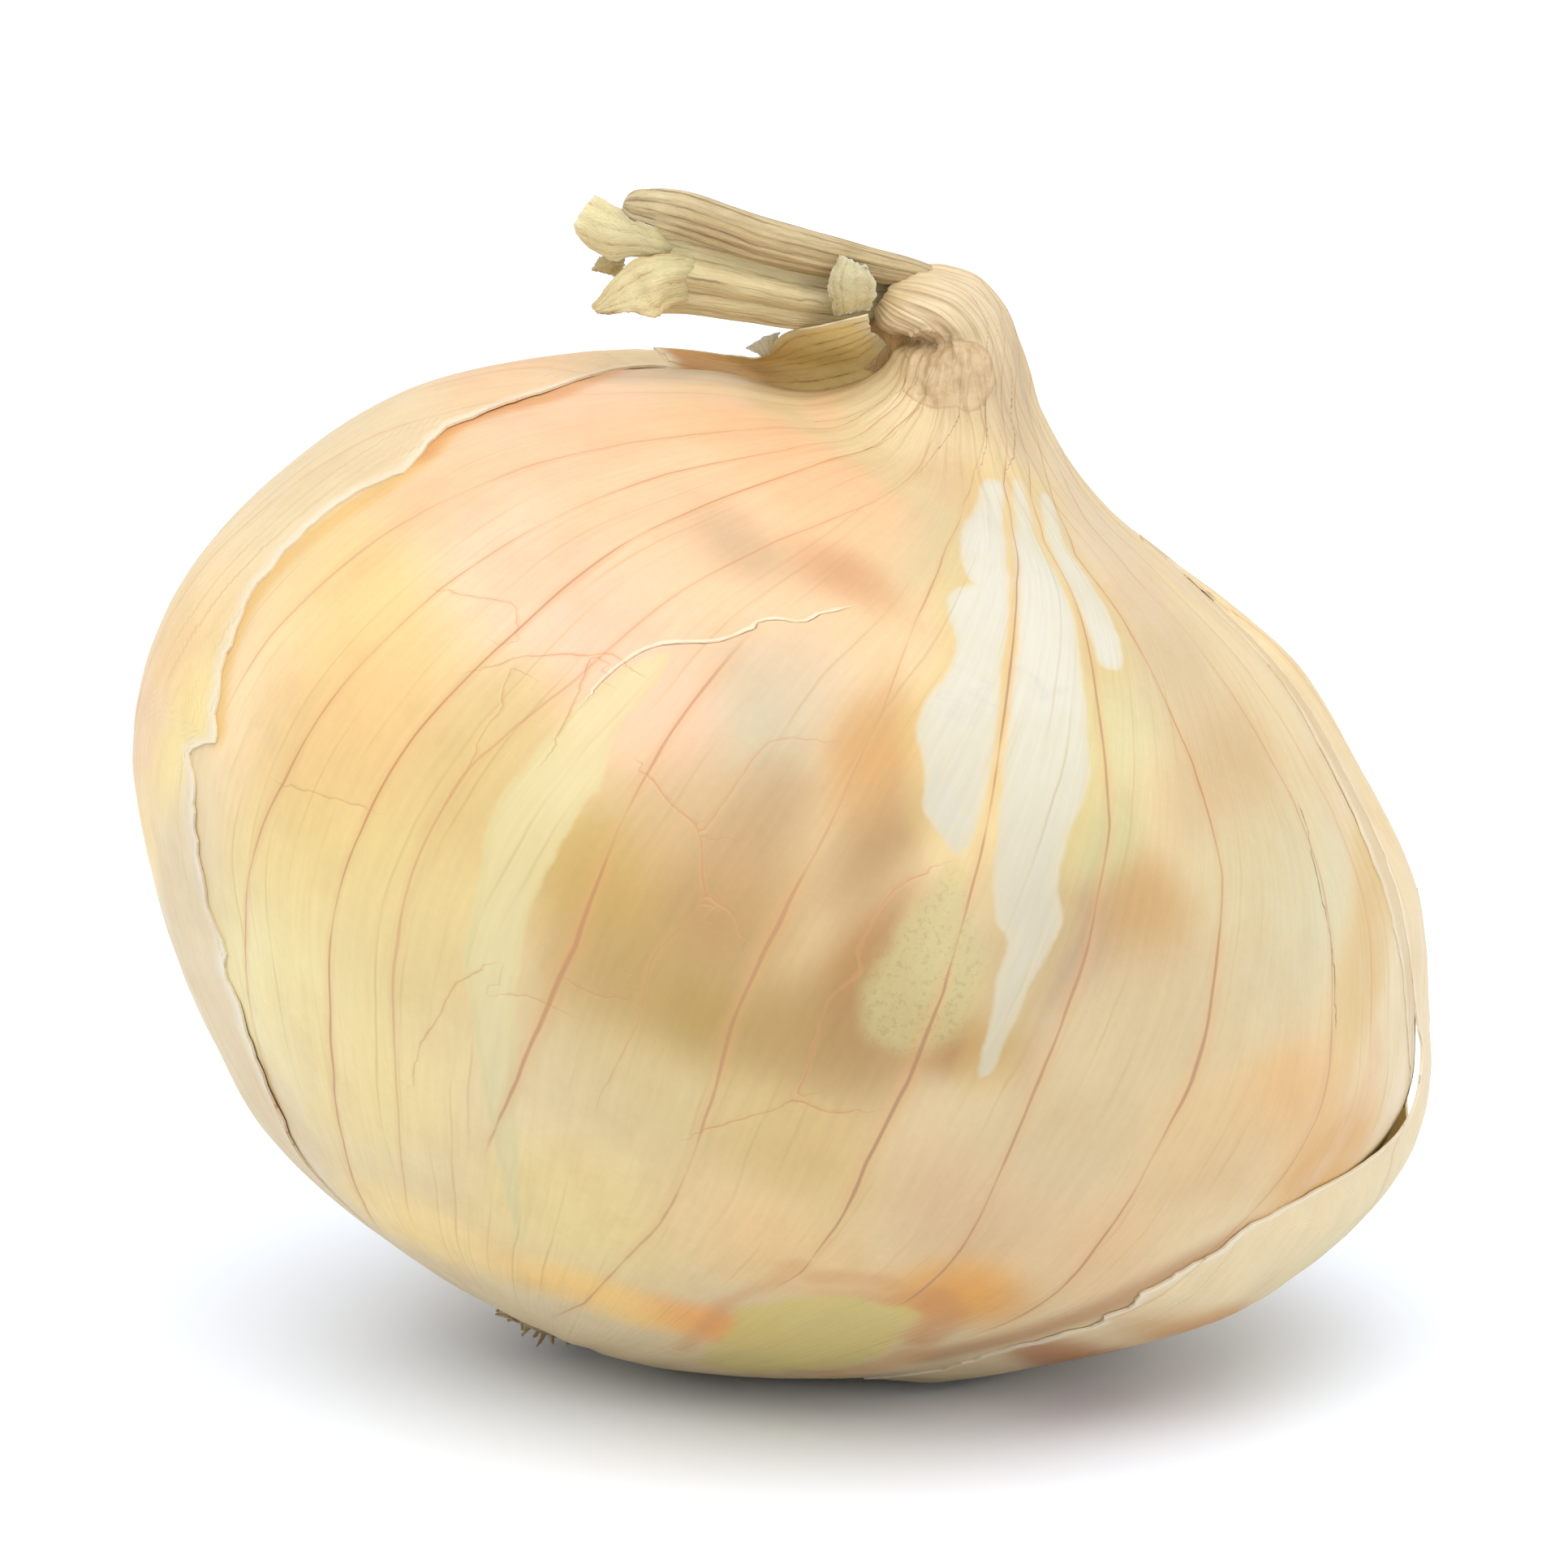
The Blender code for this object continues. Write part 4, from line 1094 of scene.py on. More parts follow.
@dataclass(frozen=True)
class BulbMarks:
    """Where the front skin's named marks lie, as rings and degrees."""

    white: tuple[Places, ...] = (
        [(14.8, -2.6), (13.9, -7.6), (13.5, -9.5), (13.1, -8.8), (12.8, -6.7), (12.7, -4.4), (12.6, -6.3),
         (12.4, -6.9), (12.2, -5), (12, -3.2), (11.7, -2.5), (11.4, -2.8), (11, -2.2), (10.8, -0.4), (10.6, 0.9),
         (10.4, 1.9), (10.3, 3.9), (10.2, 5.9), (10.1, 7.1), (10.3, 7.4), (10.6, 7.4), (10.8, 7.1), (11.1, 6.3),
         (11.4, 5.5), (11.7, 4.6), (12, 3.7), (12.3, 3.4), (12.6, 2.6), (13, 1.6), (13.4, 1.2), (14.2, 3.1),
         (15.1, 9.7)],
        [(15.2, 12.9), (14.2, 4.9), (13.4, 1.7), (12.9, 2.2), (12.5, 3.4), (12.3, 4), (12, 4.3), (11.6, 5.5),
         (11.2, 6.7), (10.9, 7.7), (10.7, 8.2), (10.5, 9.1), (10.2, 9.9), (10, 10.9), (9.8, 12.2), (9.7, 13.6),
         (9.3, 14.2), (9, 15.1), (8.7, 15.6), (8.3, 16.6), (8.4, 17.9), (8.8, 17.7), (9.2, 17.6), (9.5, 17.6),
         (9.9, 18.1), (10.1, 18.1), (10.3, 16.8), (10.5, 16.3), (10.8, 16.1), (11.1, 16.8), (11.4, 17),
         (11.8, 15.9), (12.1, 15.3), (12.5, 14.2), (12.8, 13.8), (13.1, 13.1), (13.4, 12.3), (13.7, 12), (14, 11.2),
         (14.9, 17.1), (15.3, 18.2)],
        [(15.2, 25.4), (14.3, 15.2), (13.9, 13.4), (13.4, 13.4), (13, 14.5), (12.7, 15.7), (12.5, 16.8),
         (12.5, 19.1), (12.6, 21.4), (12.9, 22.3), (13.1, 22.1), (13.5, 21.9), (13.8, 21.7), (14.2, 21.5),
         (15.1, 32.1)],
    )
    strip: Places = (
        (10.6, -25), (10.3, -28), (9.8, -29), (9.3, -29), (8.7, -29), (8.1, -27), (7.4, -26), (6.7, -24),
        (5.9, -22.5), (5.1, -20.5), (4.1, -18), (3.4, -15), (4.6, -16.5), (5.7, -18), (6.6, -19), (7.2, -20),
        (7.8, -21), (8.3, -21.5), (9.0, -22), (9.4, -22), (9.8, -24), (10.2, -24))
    yellow: Places = (
        (2.1, 20.9), (2.8, 14.3), (3.2, 13.3), (3.6, 12.1), (3.9, 10.6), (4.2, 12.2), (4.5, 14.1), (4.8, 16.7),
        (5, 19.3), (4.9, 23.4), (5, 25.9), (4.8, 29.1), (4.4, 31.4), (3.9, 35), (3.5, 37.3), (3.1, 37.9),
        (2.7, 34.8), (2.3, 35.5), (2.2, 28))
    olive: Places = (
        (9.8, 4.5), (10.3, 6), (10.2, 8.5), (9.9, 11), (9.5, 14), (9.0, 15), (8.5, 14.5), (8.2, 12), (8.1, 7.5),
        (8.5, 4.5), (9.1, 3.5))
    # Bands of the skin's own colour around the yellow patch, and bands of painted shade along the torn outer skin's
    # edges and its loose flap
    bands: tuple[Band, ...] = (
        # painted shadow under the torn outer skin's left edge
        Band([(8.0, -61), (8.6, -65.5), (9.4, -68.5), (10.5, -67), (11.0, -73)], (242, 194, 112), 0.4, 1.7),
        # painted shadow under the torn outer skin's top edge
        Band([(10.7, -69), (11.0, -73), (11.8, -77.5), (12.2, -87), (12.5, -101)], (228, 155, 85), 0.3, 1.9),
        Band([(5, 14.8), (5.2, 17.2), (5.3, 19.6), (5.3, 21.9)], (223, 168, 108), 0.3, 1.4, 0.6),
        Band([(2.6, 13.5), (3.1, 11.6), (3.5, 10.8), (3.9, 9.6), (4.1, 10.3), (4.4, 11.1), (4.7, 11.8), (5.1, 11.8),
              (5.2, 12.1)], (216, 152, 88), 0.1, 1.0, 0.4),
        Band([(5.3, 26.7), (5.1, 29.1), (4.9, 31.7), (4.5, 33.6), (4.2, 35.3)], (212, 142, 80), 0.4, 2.0, 0.6),
        # painted shade beside the loose flap's edge
        Band([(9.9, 64.2), (8.8, 61.1), (7.8, 58.4), (7.1, 52.7)], (224, 178, 122), 0.4, 2.2, 0.5),
        # painted shade under the loose flap's lower edge
        Band([(7.1, 53.8), (6.4, 47.7), (5.4, 44.5), (4.5, 43.2), (3.8, 41.8)], (176, 112, 52), 0.4, 3.0, 0.65),
    )
    neck_lines: tuple[Course, ...] = (
        Course([(19.4, -65), (17.8, -48), (16.1, -49)]),
        Course([(18.8, -17.5), (16.9, -28), (15.9, -35.3), (14.6, -38.2), (13.8, -39.2)]),
        Course([(18.2, 0.2), (16.7, -7.1), (15.3, -17.8), (14.2, -23.1)]),
        Course([(19.6, 36.1), (18.4, 19.9), (17.3, 15.8), (16.3, 7.8), (15.1, -1.3)]),
        Course([(19.1, 48.9), (17.6, 43.4), (15.4, 12.5)]),
        Course([(16.1, -49.5), (15.3, -55.5), (14.6, -57.3), (13.9, -58.1)]),
        Course([(19.4, -43.8), (17.2, -38.8), (16.1, -44.6)]),
        Course([(16.9, -22.1), (18.2, -17.2), (18.9, -12.3)]),
        Course([(17.8, 5), (17.1, 0), (16.5, -3.5)]),
    )
    sleeve: Places = (
        (20.1, -51.8), (20.4, -25.5), (19.8, -16.2), (19.4, -6.2), (19.2, 10.5), (18.6, 25.6), (17.7, 27.4),
        (17, 15.8), (16.5, 0.2), (16.4, -8.9), (16.1, -23.4), (15.9, -34.4), (16, -44.2), (16.2, -50), (17.5, -50.2),
        (18.5, -70.3))
    cracks: tuple[Course, ...] = (
        Course([(11.8, -15.5), (11.6, -17), (11.4, -18), (11.3, -20), (11.2, -21), (11.1, -21), (10.9, -22),
                (10.8, -23), (10.6, -26), (10.5, -27), (10.3, -28), (10.0, -28.4)]),
    )
    streaks: tuple[Course, ...] = (
        Course([(11.9, 52.4), (11.7, 52.1)]),
        Course([(11.5, 51.3), (11.1, 51.2), (10.8, 52.1), (10.5, 53.1), (10.1, 53.8)]),
    )
    folds: tuple[Course, ...] = (
        Course([(11.8, -3), (11.8, -0.6), (11.8, 1.3)]),
        Course([(11.5, -0.9), (11.6, 0.9), (11.6, 2.7)]),
        Course([(11.4, 0.3), (11.4, 2.3), (11.3, 4.1)]),
        Course([(11.3, -1.3), (11.3, 0.5), (11.3, 2.3)]),
        Course([(10.8, 0.6), (10.7, 2.4), (10.6, 4.2)]),
        Course([(10.6, 1.5), (10.4, 3.1), (10.3, 4.9)]),
        Course([(10.5, 2.7), (10.5, 4.6), (10.5, 6.3)]),
        Course([(12.1, 5.7), (12.1, 7.4), (12, 8.7)]),
        Course([(11.9, 8.9), (12, 10.1), (12.1, 11.5)]),
    )
    branches: tuple[Course, ...] = (
        Course([(9.7, -38), (9.9, -36), (10.1, -33), (10.2, -31), (10.3, -30), (10.3, -28)]),
        Course([(10.2, -31), (10.0, -30), (9.8, -29), (9.5, -28)]),
        Course([(9.8, -36), (9.6, -35), (9.5, -34), (9.3, -34), (9.0, -33), (8.7, -33)], 0.8),
        Course([(10.0, -47), (10.1, -44), (10.2, -41), (10.1, -39)], 0.7),
        Course([(9.6, -19), (9.5, -16), (9.4, -13), (9.0, -10), (8.9, -7), (8.8, -6)]),
        Course([(9.4, -13), (9.7, -13), (10.3, -13), (10.5, -10)], 0.8),
        Course([(9.0, -10), (8.7, -10), (8.2, -11), (7.5, -10), (6.6, -11)], 0.6),
        Course([(6.6, -2), (7.0, 1), (7.2, 3), (7.4, 4), (7.4, 7), (7.5, 9)]),
        Course([(7.5, 4), (7.8, 4), (8.4, 3), (8.6, 3), (8.9, 4), (9.1, 3), (9.7, 3), (10.0, 5)]),
        Course([(8.0, -48), (8.1, -44), (8.2, -40)], 0.8),
        Course([(7.6, -16), (7.6, -14), (7.7, -12)], 0.7),
        Course([(7.3, -17), (7.3, -19), (7.2, -21)], 0.6),
        Course([(7.3, -24), (7.0, -26), (6.6, -27), (6.1, -29), (5.6, -30)], 0.8),
    )
    ground: Tone = (234, 209, 160)
    band_reach: float = 2.4
    patches: tuple[Patch, ...] = ()

    def lines(self) -> list[tuple[str, tuple[Course, ...], float]]:
        """Each group of lines: its name, its courses and how far in millimetres it is seen."""
        return [("branch", self.branches, 2.4), ("crack", self.cracks, 2.4), ("streak", self.streaks, 1.0),
                ("fold", self.folds, 1.6), ("neck_line", self.neck_lines, 1.4)]

    def outlines(self) -> dict[str, Places]:
        """The single outlines by name."""
        return {"strip": self.strip, "yellow": self.yellow, "olive": self.olive, "sleeve": self.sleeve}


@dataclass
class Bulb:
    """The fleshy bulb with its tight front skin, its pleated neck and its drawn-in collar."""

    form: OnionForm
    marks: BulbMarks
    rows: int = 280
    front_columns: int = 270
    back_columns: int = 80
    last_ring: float = 26.0
    low_rows: int = 36
    body_share: float = 0.62
    dent: float = 0.14
    furrow: float = 0.03
    sink: float = 0.10

    def columns(self) -> np.ndarray:
        """Turns in degrees, close together over the front."""
        front = np.linspace(-105, 105, self.front_columns, endpoint=False)
        right = np.linspace(105, 180, self.back_columns // 2)
        left = np.linspace(-180, -105, self.back_columns // 2, endpoint=False)
        return np.concatenate([left, front, right])

    def rings(self) -> np.ndarray:
        """Ring numbers of the rows, closest together at the roots and at the neck."""
        body_rows = int(self.rows * self.body_share)
        low = np.linspace(0.0, 3.0, self.low_rows, endpoint=False)
        body = np.linspace(3.0, 14.5, body_rows, endpoint=False)
        neck = np.linspace(14.5, self.last_ring, self.rows - self.low_rows - body_rows)
        low[0] = 0.04
        return np.concatenate([low, body, neck])

    def relief(self, ring: np.ndarray, degrees: np.ndarray, veins: dict[str, np.ndarray]) -> np.ndarray:
        """Heights of the skin's soft dents, its veins' furrows and the neck's creases.

        Args:
            ring: Ring numbers.
            degrees: Turns in degrees.
            veins: The main veins' fields.

        Returns:
            Heights in millimetres.
        """
        x, y = np.cos(np.radians(degrees)), np.sin(np.radians(degrees))
        soft = ripple(x * 2.2, y * 2.2, ring * 0.33) + 0.5 * ripple(x * 5.1, y * 5.1, ring * 0.7 + 9)
        furrow = np.cos(2 * np.pi * veins["vein_phase"])
        neck = ease(14.5, 17.5, ring) * (1 - ease(22.2, 23.5, ring))
        pleat = np.cos(np.radians(degrees) * 37 + 1.6 * np.sin(ring * 0.9))
        folds = ripple(x * 7, y * 7, ring * 1.1) * 0.10 + 0.035 * pleat
        ragged = 0.25 * ripple(degrees * 0.12, ring * 2.6, 7.0)
        sleeve = outline_field(self.form, ring, degrees, self.marks.sleeve) + ragged
        crumple = ripple(degrees * 0.07, ring * 1.7, 1.0) + 0.5 * ripple(degrees * 0.16, ring * 3.8, 2.0)
        folds = folds + ease(-0.05, 0.2, sleeve) * (0.16 + 0.22 * crumple)
        return self.dent * soft * (1 - neck) - self.furrow * furrow * (1 - neck) + folds * neck - self.sink

    def build(self, material: bpy.types.Material) -> bpy.types.Object:
        """Builds and dresses the bulb.

        Args:
            material: The front skin's finish.

        Returns:
            The piece.
        """
        ring, degrees = np.meshgrid(self.rings(), self.columns(), indexing="ij")
        veins = MainVeins().fields(ring, degrees)
        points = self.form.place(ring, degrees, self.relief(ring, degrees, veins))
        fields = veins | self.mark_fields(points, ring, degrees)
        sheet = Sheet(points, degrees / 360 + 0.5, ring / GRAIN_RINGS, fields, closed=True)
        piece = sheet.to_piece("bulb_skin", material)
        settle(piece, "golden_skin", "bulb")
        return piece

    def mark_fields(self, points: np.ndarray, ring: np.ndarray, degrees: np.ndarray) -> dict[str, np.ndarray]:
        """The fields of the named marks.

        Args:
            points: The skin's points in metres.
            ring: Their ring numbers.
            degrees: Their turns in degrees.

        Returns:
            The tint, the distances to lines and how near they are, and the depths inside outlines.
        """
        form, marks = self.form, self.marks
        out = form.to_world(form.own_normal(ring, np.radians(degrees))) - form.to_world(np.zeros(3))
        tint = tint_field(form, ring, degrees, marks.ground, marks.patches)
        # the bands paint the skin's own colour, and painted shade along the outer skin's torn edges and its loose
        # flap
        for band in marks.bands:
            aside, beside = line_fields(points, out, [Course(band.places)], form, marks.band_reach * band.fade)
            share = band.strength * (1 - ease(band.core, band.fade, np.abs(aside))) * (beside > 0)
            tint = mixed(tint, shades(band.tone), share)
        white = np.maximum.reduce([outline_field(form, ring, degrees, places) for places in marks.white])
        found = {"tint": tint, "height_along": ring, "white_depth": white}
        for name, courses, near in marks.lines():
            found[f"{name}_offset"], found[f"{name}_near"] = line_fields(points, out, courses, form, near)
        found["crack_near"] = found["crack_near"] * ease(-13.5, -17.0, degrees)
        for name, places in marks.outlines().items():
            found[f"{name}_depth"] = outline_field(form, ring, degrees, places)
        return found


# The torn outer skin


@dataclass
class OuterSkin:
    """The torn papery leaf that wraps the back and both sides, open over the front, with a slit on the right."""

    form: OnionForm
    right_edge: tuple = (
        (1.0, 66), (2.5, 56), (3.9, 49), (4.5, 46.5), (5.2, 49), (6.2, 47), (6.8, 50), (7.4, 53), (7.9, 62),
        (8.4, 73), (9.0, 80), (9.7, 82), (10.3, 79), (10.9, 76), (11.4, 77), (12.0, 80), (12.7, 82), (13.5, 85),
        (15.6, 94),
    )
    left_edge: tuple = (
        (1.0, -70), (3.6, -60), (5.0, -58.5), (6.3, -60), (7.1, -62), (7.6, -64.5), (7.9, -60), (8.6, -66),
        (9.4, -69), (10.5, -67.5), (11.0, -73.5), (11.8, -78), (12.2, -88), (12.5, -102), (12.8, -122),
        (13.1, -142), (13.5, -160), (14.0, -174), (14.6, -186), (15.6, -190),
    )
    loose_rise: tuple = (
        (5.0, 0.0), (6.5, 0.45), (7.5, 1.1), (8.3, 1.4), (9.0, 1.0), (9.8, 0.6), (10.6, 0.35), (11.4, 0.1),
        (12.2, 0.0),
    )
    loose_turn: float = 92.0
    loose_width: float = 26.0
    ground: Tone = (244, 216, 168)
    edge_tone: Tone = (255, 240, 212)
    gap: float = 0.35
    thick: float = 0.18
    solid_thick: float = 0.6
    sunk: float = 0.12
    rows: int = 180
    foot_gap: float = 1.3
    low_ring: float = 1.35
    top_ring: float = 14.2
    slit_sides: tuple = (2 / 34, 4 / 34)
    slit_shares: tuple = (16 / 36, 25 / 36)
    slit_columns: int = 8
    slit_reach: float = 6.8
    slit_ragged: float = 0.5
    slit_end: float = 0.05
    slit_near: float = 0.03

    def sides(self) -> np.ndarray:
        """Column places from 0 at the right edge round the back to 1 at the left one."""
        a, b = self.slit_sides
        right = np.linspace(0, a, 34, endpoint=False)
        slit = np.linspace(a, b, self.slit_columns, endpoint=False)
        back = np.linspace(b, 0.72, 100, endpoint=False)
        left = np.linspace(0.72, 1.0, 110)
        return np.concatenate([right, slit, back, left])

    def edge(self, table: tuple, ring: np.ndarray) -> np.ndarray:
        """The degrees of an edge at each ring."""
        rings, degrees = np.array(table, float).T
        return np.interp(ring, rings, degrees)

    def turn(self, ring: np.ndarray, side: np.ndarray) -> np.ndarray:
        """Turns in degrees for the grid's places."""
        right = self.edge(self.right_edge, ring)
        left = self.edge(self.left_edge, ring) + 360
        return right + (left - right) * side

    def foot(self, side: np.ndarray) -> np.ndarray:
        """The ring where each column starts, high enough to keep it off the table."""
        ring = np.full(side.shape, self.low_ring)
        for _ in range(160):
            low = self.form.place(ring, self.turn(ring, side))[..., 2] < self.foot_gap * MM
            ring = ring + 0.03 * low
        return ring

    def grid(self) -> tuple[np.ndarray, np.ndarray, np.ndarray, np.ndarray]:
        """The skin's grid, torn at its edges.

        Returns:
            Shares of the way up and of the way round, ring numbers, and turns in degrees.
        """
        share, side = np.meshgrid(np.linspace(0, 1, self.rows), self.sides(), indexing="ij")
        low = self.foot(side[0])[None, :]
        top_turn = np.radians(self.turn(np.full(side.shape, self.top_ring), side))
        top = self.top_ring + 0.4 * ripple(top_turn * 2.6, 4.2, 0.3)
        fray = ripple(side * 150, 2.0, 0.5) * 0.10 + ripple(side * 420, 7.0, 0.5) * 0.06
        ring = low + (top + fray * ease(0.85, 1.0, share) - low) * share
        degrees = self.turn(ring, side)
        torn = 1.5 * ripple(share * 31, side * 9, 0.5) + 0.6 * ripple(share * 84, 3.0, 1.5)
        torn = torn + 0.3 * ripple(share * 230, 5.0, 2.5)
        degrees = degrees + torn * np.maximum(ease(0.05, 0.0, side), ease(0.965, 1.0, side))
        return share, side, ring, degrees + self.slit_pull(share, side)

    def lift(self, share: np.ndarray, side: np.ndarray, ring: np.ndarray, degrees: np.ndarray) -> np.ndarray:
        """How high the skin stands off the bulb: loose on the right, raised at the top, and down at its edges.

        Args:
            share: Shares of the way up.
            side: Shares of the way round.
            ring: Ring numbers.
            degrees: Turns in degrees.

        Returns:
            Heights in millimetres.
        """
        rings, rises = np.array(self.loose_rise, float).T
        loose = np.exp(-(((degrees - self.loose_turn) / self.loose_width) ** 2))
        rise = np.interp(ring, rings, rises) * loose
        raised = 0.4 * ease(11, 12.6, ring) * ease(0.55, 0.8, side)
        x, y = np.cos(np.radians(degrees)), np.sin(np.radians(degrees))
        wave = 0.10 * ripple(x * 6, y * 6, ring * 0.9) + 0.05 * ripple(x * 22, y * 22, ring * 3)
        lift = self.gap + rise + raised + 0.35 * ease(12.2, 13.4, ring) + self.solid_thick - self.sunk + wave
        right = ease(0.055, 0.0, side) * (1 - 0.35 * ease(7.8, 8.8, ring) * ease(10.4, 9.6, ring))
        hugging = np.maximum.reduce([ease(0.92, 1.0, side), right, ease(0.86, 1.0, share)])
        return lift * (1 - 0.95 * hugging) + 0.04 * hugging

    def build(self, material: bpy.types.Material, patches: Sequence[Patch]) -> bpy.types.Object:
        """Builds and dresses the skin.

        Args:
            material: Its finish.
            patches: Its patches of colour.

        Returns:
            The piece.
        """
        share, side, ring, degrees = self.grid()
        points = self.form.place(ring, degrees, self.lift(share, side, ring, degrees))
        wrapped = (degrees + 180) % 360 - 180
        fields = MainVeins().fields(ring, wrapped)
        tint = tint_field(self.form, ring, wrapped, self.ground, patches)
        rim = np.maximum.reduce([ease(0.988, 1.0, side), ease(0.006, 0.0, side), ease(0.99, 1.0, share)])
        fields["tint"] = mixed(tint, shades(self.edge_tone), 0.75 * rim)
        up, way = share[:-1, :-1], side[:-1, :-1] + 1e-6
        holes = (way >= self.slit_sides[0]) & (way < self.slit_sides[1])
        holes &= (up >= self.slit_shares[0]) & (up < self.slit_shares[1])
        sheet = Sheet(points, degrees / 360 + 0.5, ring / GRAIN_RINGS, fields, holes=holes)
        piece = sheet.to_piece("torn_outer_skin", material, self.thick)
        settle(piece, "papery_skin", "outer_skin")
        return piece

    def slit_pull(self, share: np.ndarray, side: np.ndarray) -> np.ndarray:
        """Degrees that draw the slit's two sides together towards its ends.

        Args:
            share: Shares of the way up.
            side: Shares of the way round.

        Returns:
            Degrees to add to the turns.
        """
        a, b = self.slit_sides
        closing = sum(np.exp(-(((share - end) / self.slit_end) ** 2)) for end in self.slit_shares)
        pull = closing * self.slit_reach + self.slit_ragged * ripple(share * 90, 6.0, 0.5)
        near_a, near_b = (np.maximum(0.0, 1 - np.abs(side - edge) / self.slit_near) for edge in (a, b))
        return pull * near_a * (side <= b) - pull * near_b * (side >= a)


@dataclass
class SkinLayer:
    """A thin extra layer of skin on the bulb, between two edges, that may rise from one side to the other."""

    name: str
    form: OnionForm
    right_edge: Places
    left_edge: Places
    lifts: tuple[float, float]
    tones: tuple[Tone, Tone]
    edge_tone: Tone = (250, 234, 204)
    rows: int = 150
    columns: int = 40
    ragged: float = 1.2
    thick: float = 0.12

    def build(self, material: bpy.types.Material, slot: str) -> None:
        """Builds and dresses the layer."""
        low, high = self.left_edge[0][0], self.left_edge[-1][0]
        ring, share = np.meshgrid(np.linspace(low, high, self.rows), np.linspace(0, 1, self.columns), indexing="ij")
        left = np.interp(ring, *np.array(self.left_edge, float).T)
        right = np.interp(ring, *np.array(self.right_edge, float).T)
        torn = ripple(ring * 2.2, share, 3.3) + 0.5 * ripple(ring * 6.5, share, 5.1)
        degrees = left + (right - left) * share + self.ragged * torn * np.maximum(1 - 6 * share, 0)
        lift = self.lifts[0] + (self.lifts[1] - self.lifts[0]) * ease(0, 1, share)
        lift = lift + 0.06 * ripple(ring * 2, degrees * 0.1, 1.0) * ease(0, 0.3, share)
        fields = MainVeins().fields(ring, degrees)
        near, far = (shades(tone) for tone in self.tones)
        tint = mixed(near, far, ease(0.1, 1.0, share))
        fields["tint"] = mixed(tint, shades(self.edge_tone), 0.7 * ease(0.08, 0.0, share))
        sheet = Sheet(self.form.place(ring, degrees, lift), degrees / 360 + 0.5, ring / GRAIN_RINGS, fields)
        settle(sheet.to_piece(self.name, material, self.thick), slot)


RIGHT_LAYER = SkinLayer(
    "right_inner_layer", FORM,
    left_edge=[(8.8, 82), (9.4, 78), (10.0, 75), (10.9, 70), (11.6, 71), (12.4, 73), (13.2, 76), (14.0, 80),
               (14.6, 88)],
    right_edge=[(8.8, 94), (10.9, 96), (13.0, 98), (14.6, 100)],
    lifts=(0.02, 0.07), tones=((232, 202, 154), (214, 182, 130)),
)


# The dried stalk and the leaves at the neck


def tube_frame(table: tuple, station: np.ndarray) -> tuple[np.ndarray, np.ndarray, np.ndarray]:
    """How a tube lies at fractional stations.

    Args:
        table: Rows of values, of which the first three are the tube's centre in the onion's own frame.
        station: Fractional row numbers.

    Returns:
        The values there, the tube's run and its way up, both at a length of 1.
    """
    rows = np.array(table, float)
    run = unit(hermite(rows, station + 0.1)[..., :3] - hermite(rows, station - 0.1)[..., :3])
    return hermite(rows, station), run, unit(np.cross(np.broadcast_to(OUTWARD, run.shape), run))


@dataclass(frozen=True)
class StalkForm:
    """The stalk's outside: a grooved, folded tube from inside the collar to a torn and flared end."""

    form: OnionForm
    stations: tuple = (
        (-6.6, 72.4, 0.6, 0.8), (-7.9, 72.3, 0.8, 1.2), (-9.2, 72.1, 1.0, 1.6), (-10.3, 72.0, 1.1, 2.1),
        (-12.3, 71.2, 0.7, 2.6), (-14.8, 70.5, 0.2, 2.95), (-18.2, 69.9, -0.3, 3.25), (-21.9, 69.2, -0.6, 3.55),
        (-25.0, 68.4, -0.8, 3.95), (-27.0, 67.8, -0.9, 3.8),
    )
    depth_ratio: float = 0.86
    grooves: int = 7
    groove_depth: float = 0.075
    fold: float = 0.26
    rim: tuple = (
        (0, -1.9, 0.0), (40, -1.6, 0.0), (70, -1.8, 0.0), (100, -2.6, 0.0), (125, -3.0, 0.0), (150, -2.4, 0.02),
        (180, -2.8, 0.05), (210, -3.4, 0.05), (240, -2.2, 0.02), (270, -1.2, 0.0), (310, -1.8, 0.0),
        (360, -2.4, 0.0),
    )

    @property
    def last(self) -> float:
        """The station of the torn end."""
        return len(self.stations) - 1.0

    def point(self, station: np.ndarray, turn: np.ndarray, size: np.ndarray, reach: np.ndarray) -> np.ndarray:
        """Points of the stalk in the onion's own frame.

        Args:
            station: Places along the stalk.
            turn: Turns in radians, 0 on top and a quarter turn in front.
            size: Share of the outside's radius.
            reach: Millimetres added along the stalk.

        Returns:
            The points, as across, along and back.
        """
        row, run, upward = tube_frame(self.stations, station)
        free = ease(2.5, 5, station)
        groove = self.groove_depth * free * np.cos(self.grooves * turn)
        crease = self.fold * free * np.exp(-(((turn % (2 * np.pi) - 1.45) / 0.3) ** 2))
        radius = (row[..., 3] * (1 + groove - crease) * size)[..., None]
        spoke = upward * np.cos(turn)[..., None] + OUTWARD * self.depth_ratio * np.sin(turn)[..., None]
        return row[..., :3] + spoke * radius + run * reach[..., None]

    def torn_end(self, station: np.ndarray, turn: np.ndarray) -> tuple[np.ndarray, np.ndarray]:
        """How the rim is torn.

        Args:
            station: Places along the stalk.
            turn: Turns in radians.

        Returns:
            The reach in millimetres and the flare as a share of the radius.
        """
        degrees, reach, flare = np.array(self.rim, float).T
        torn = ease(self.last - 1.6, self.last, station)
        at = np.degrees(turn) % 360
        return np.interp(at, degrees, reach) * torn, np.interp(at, degrees, flare) * torn


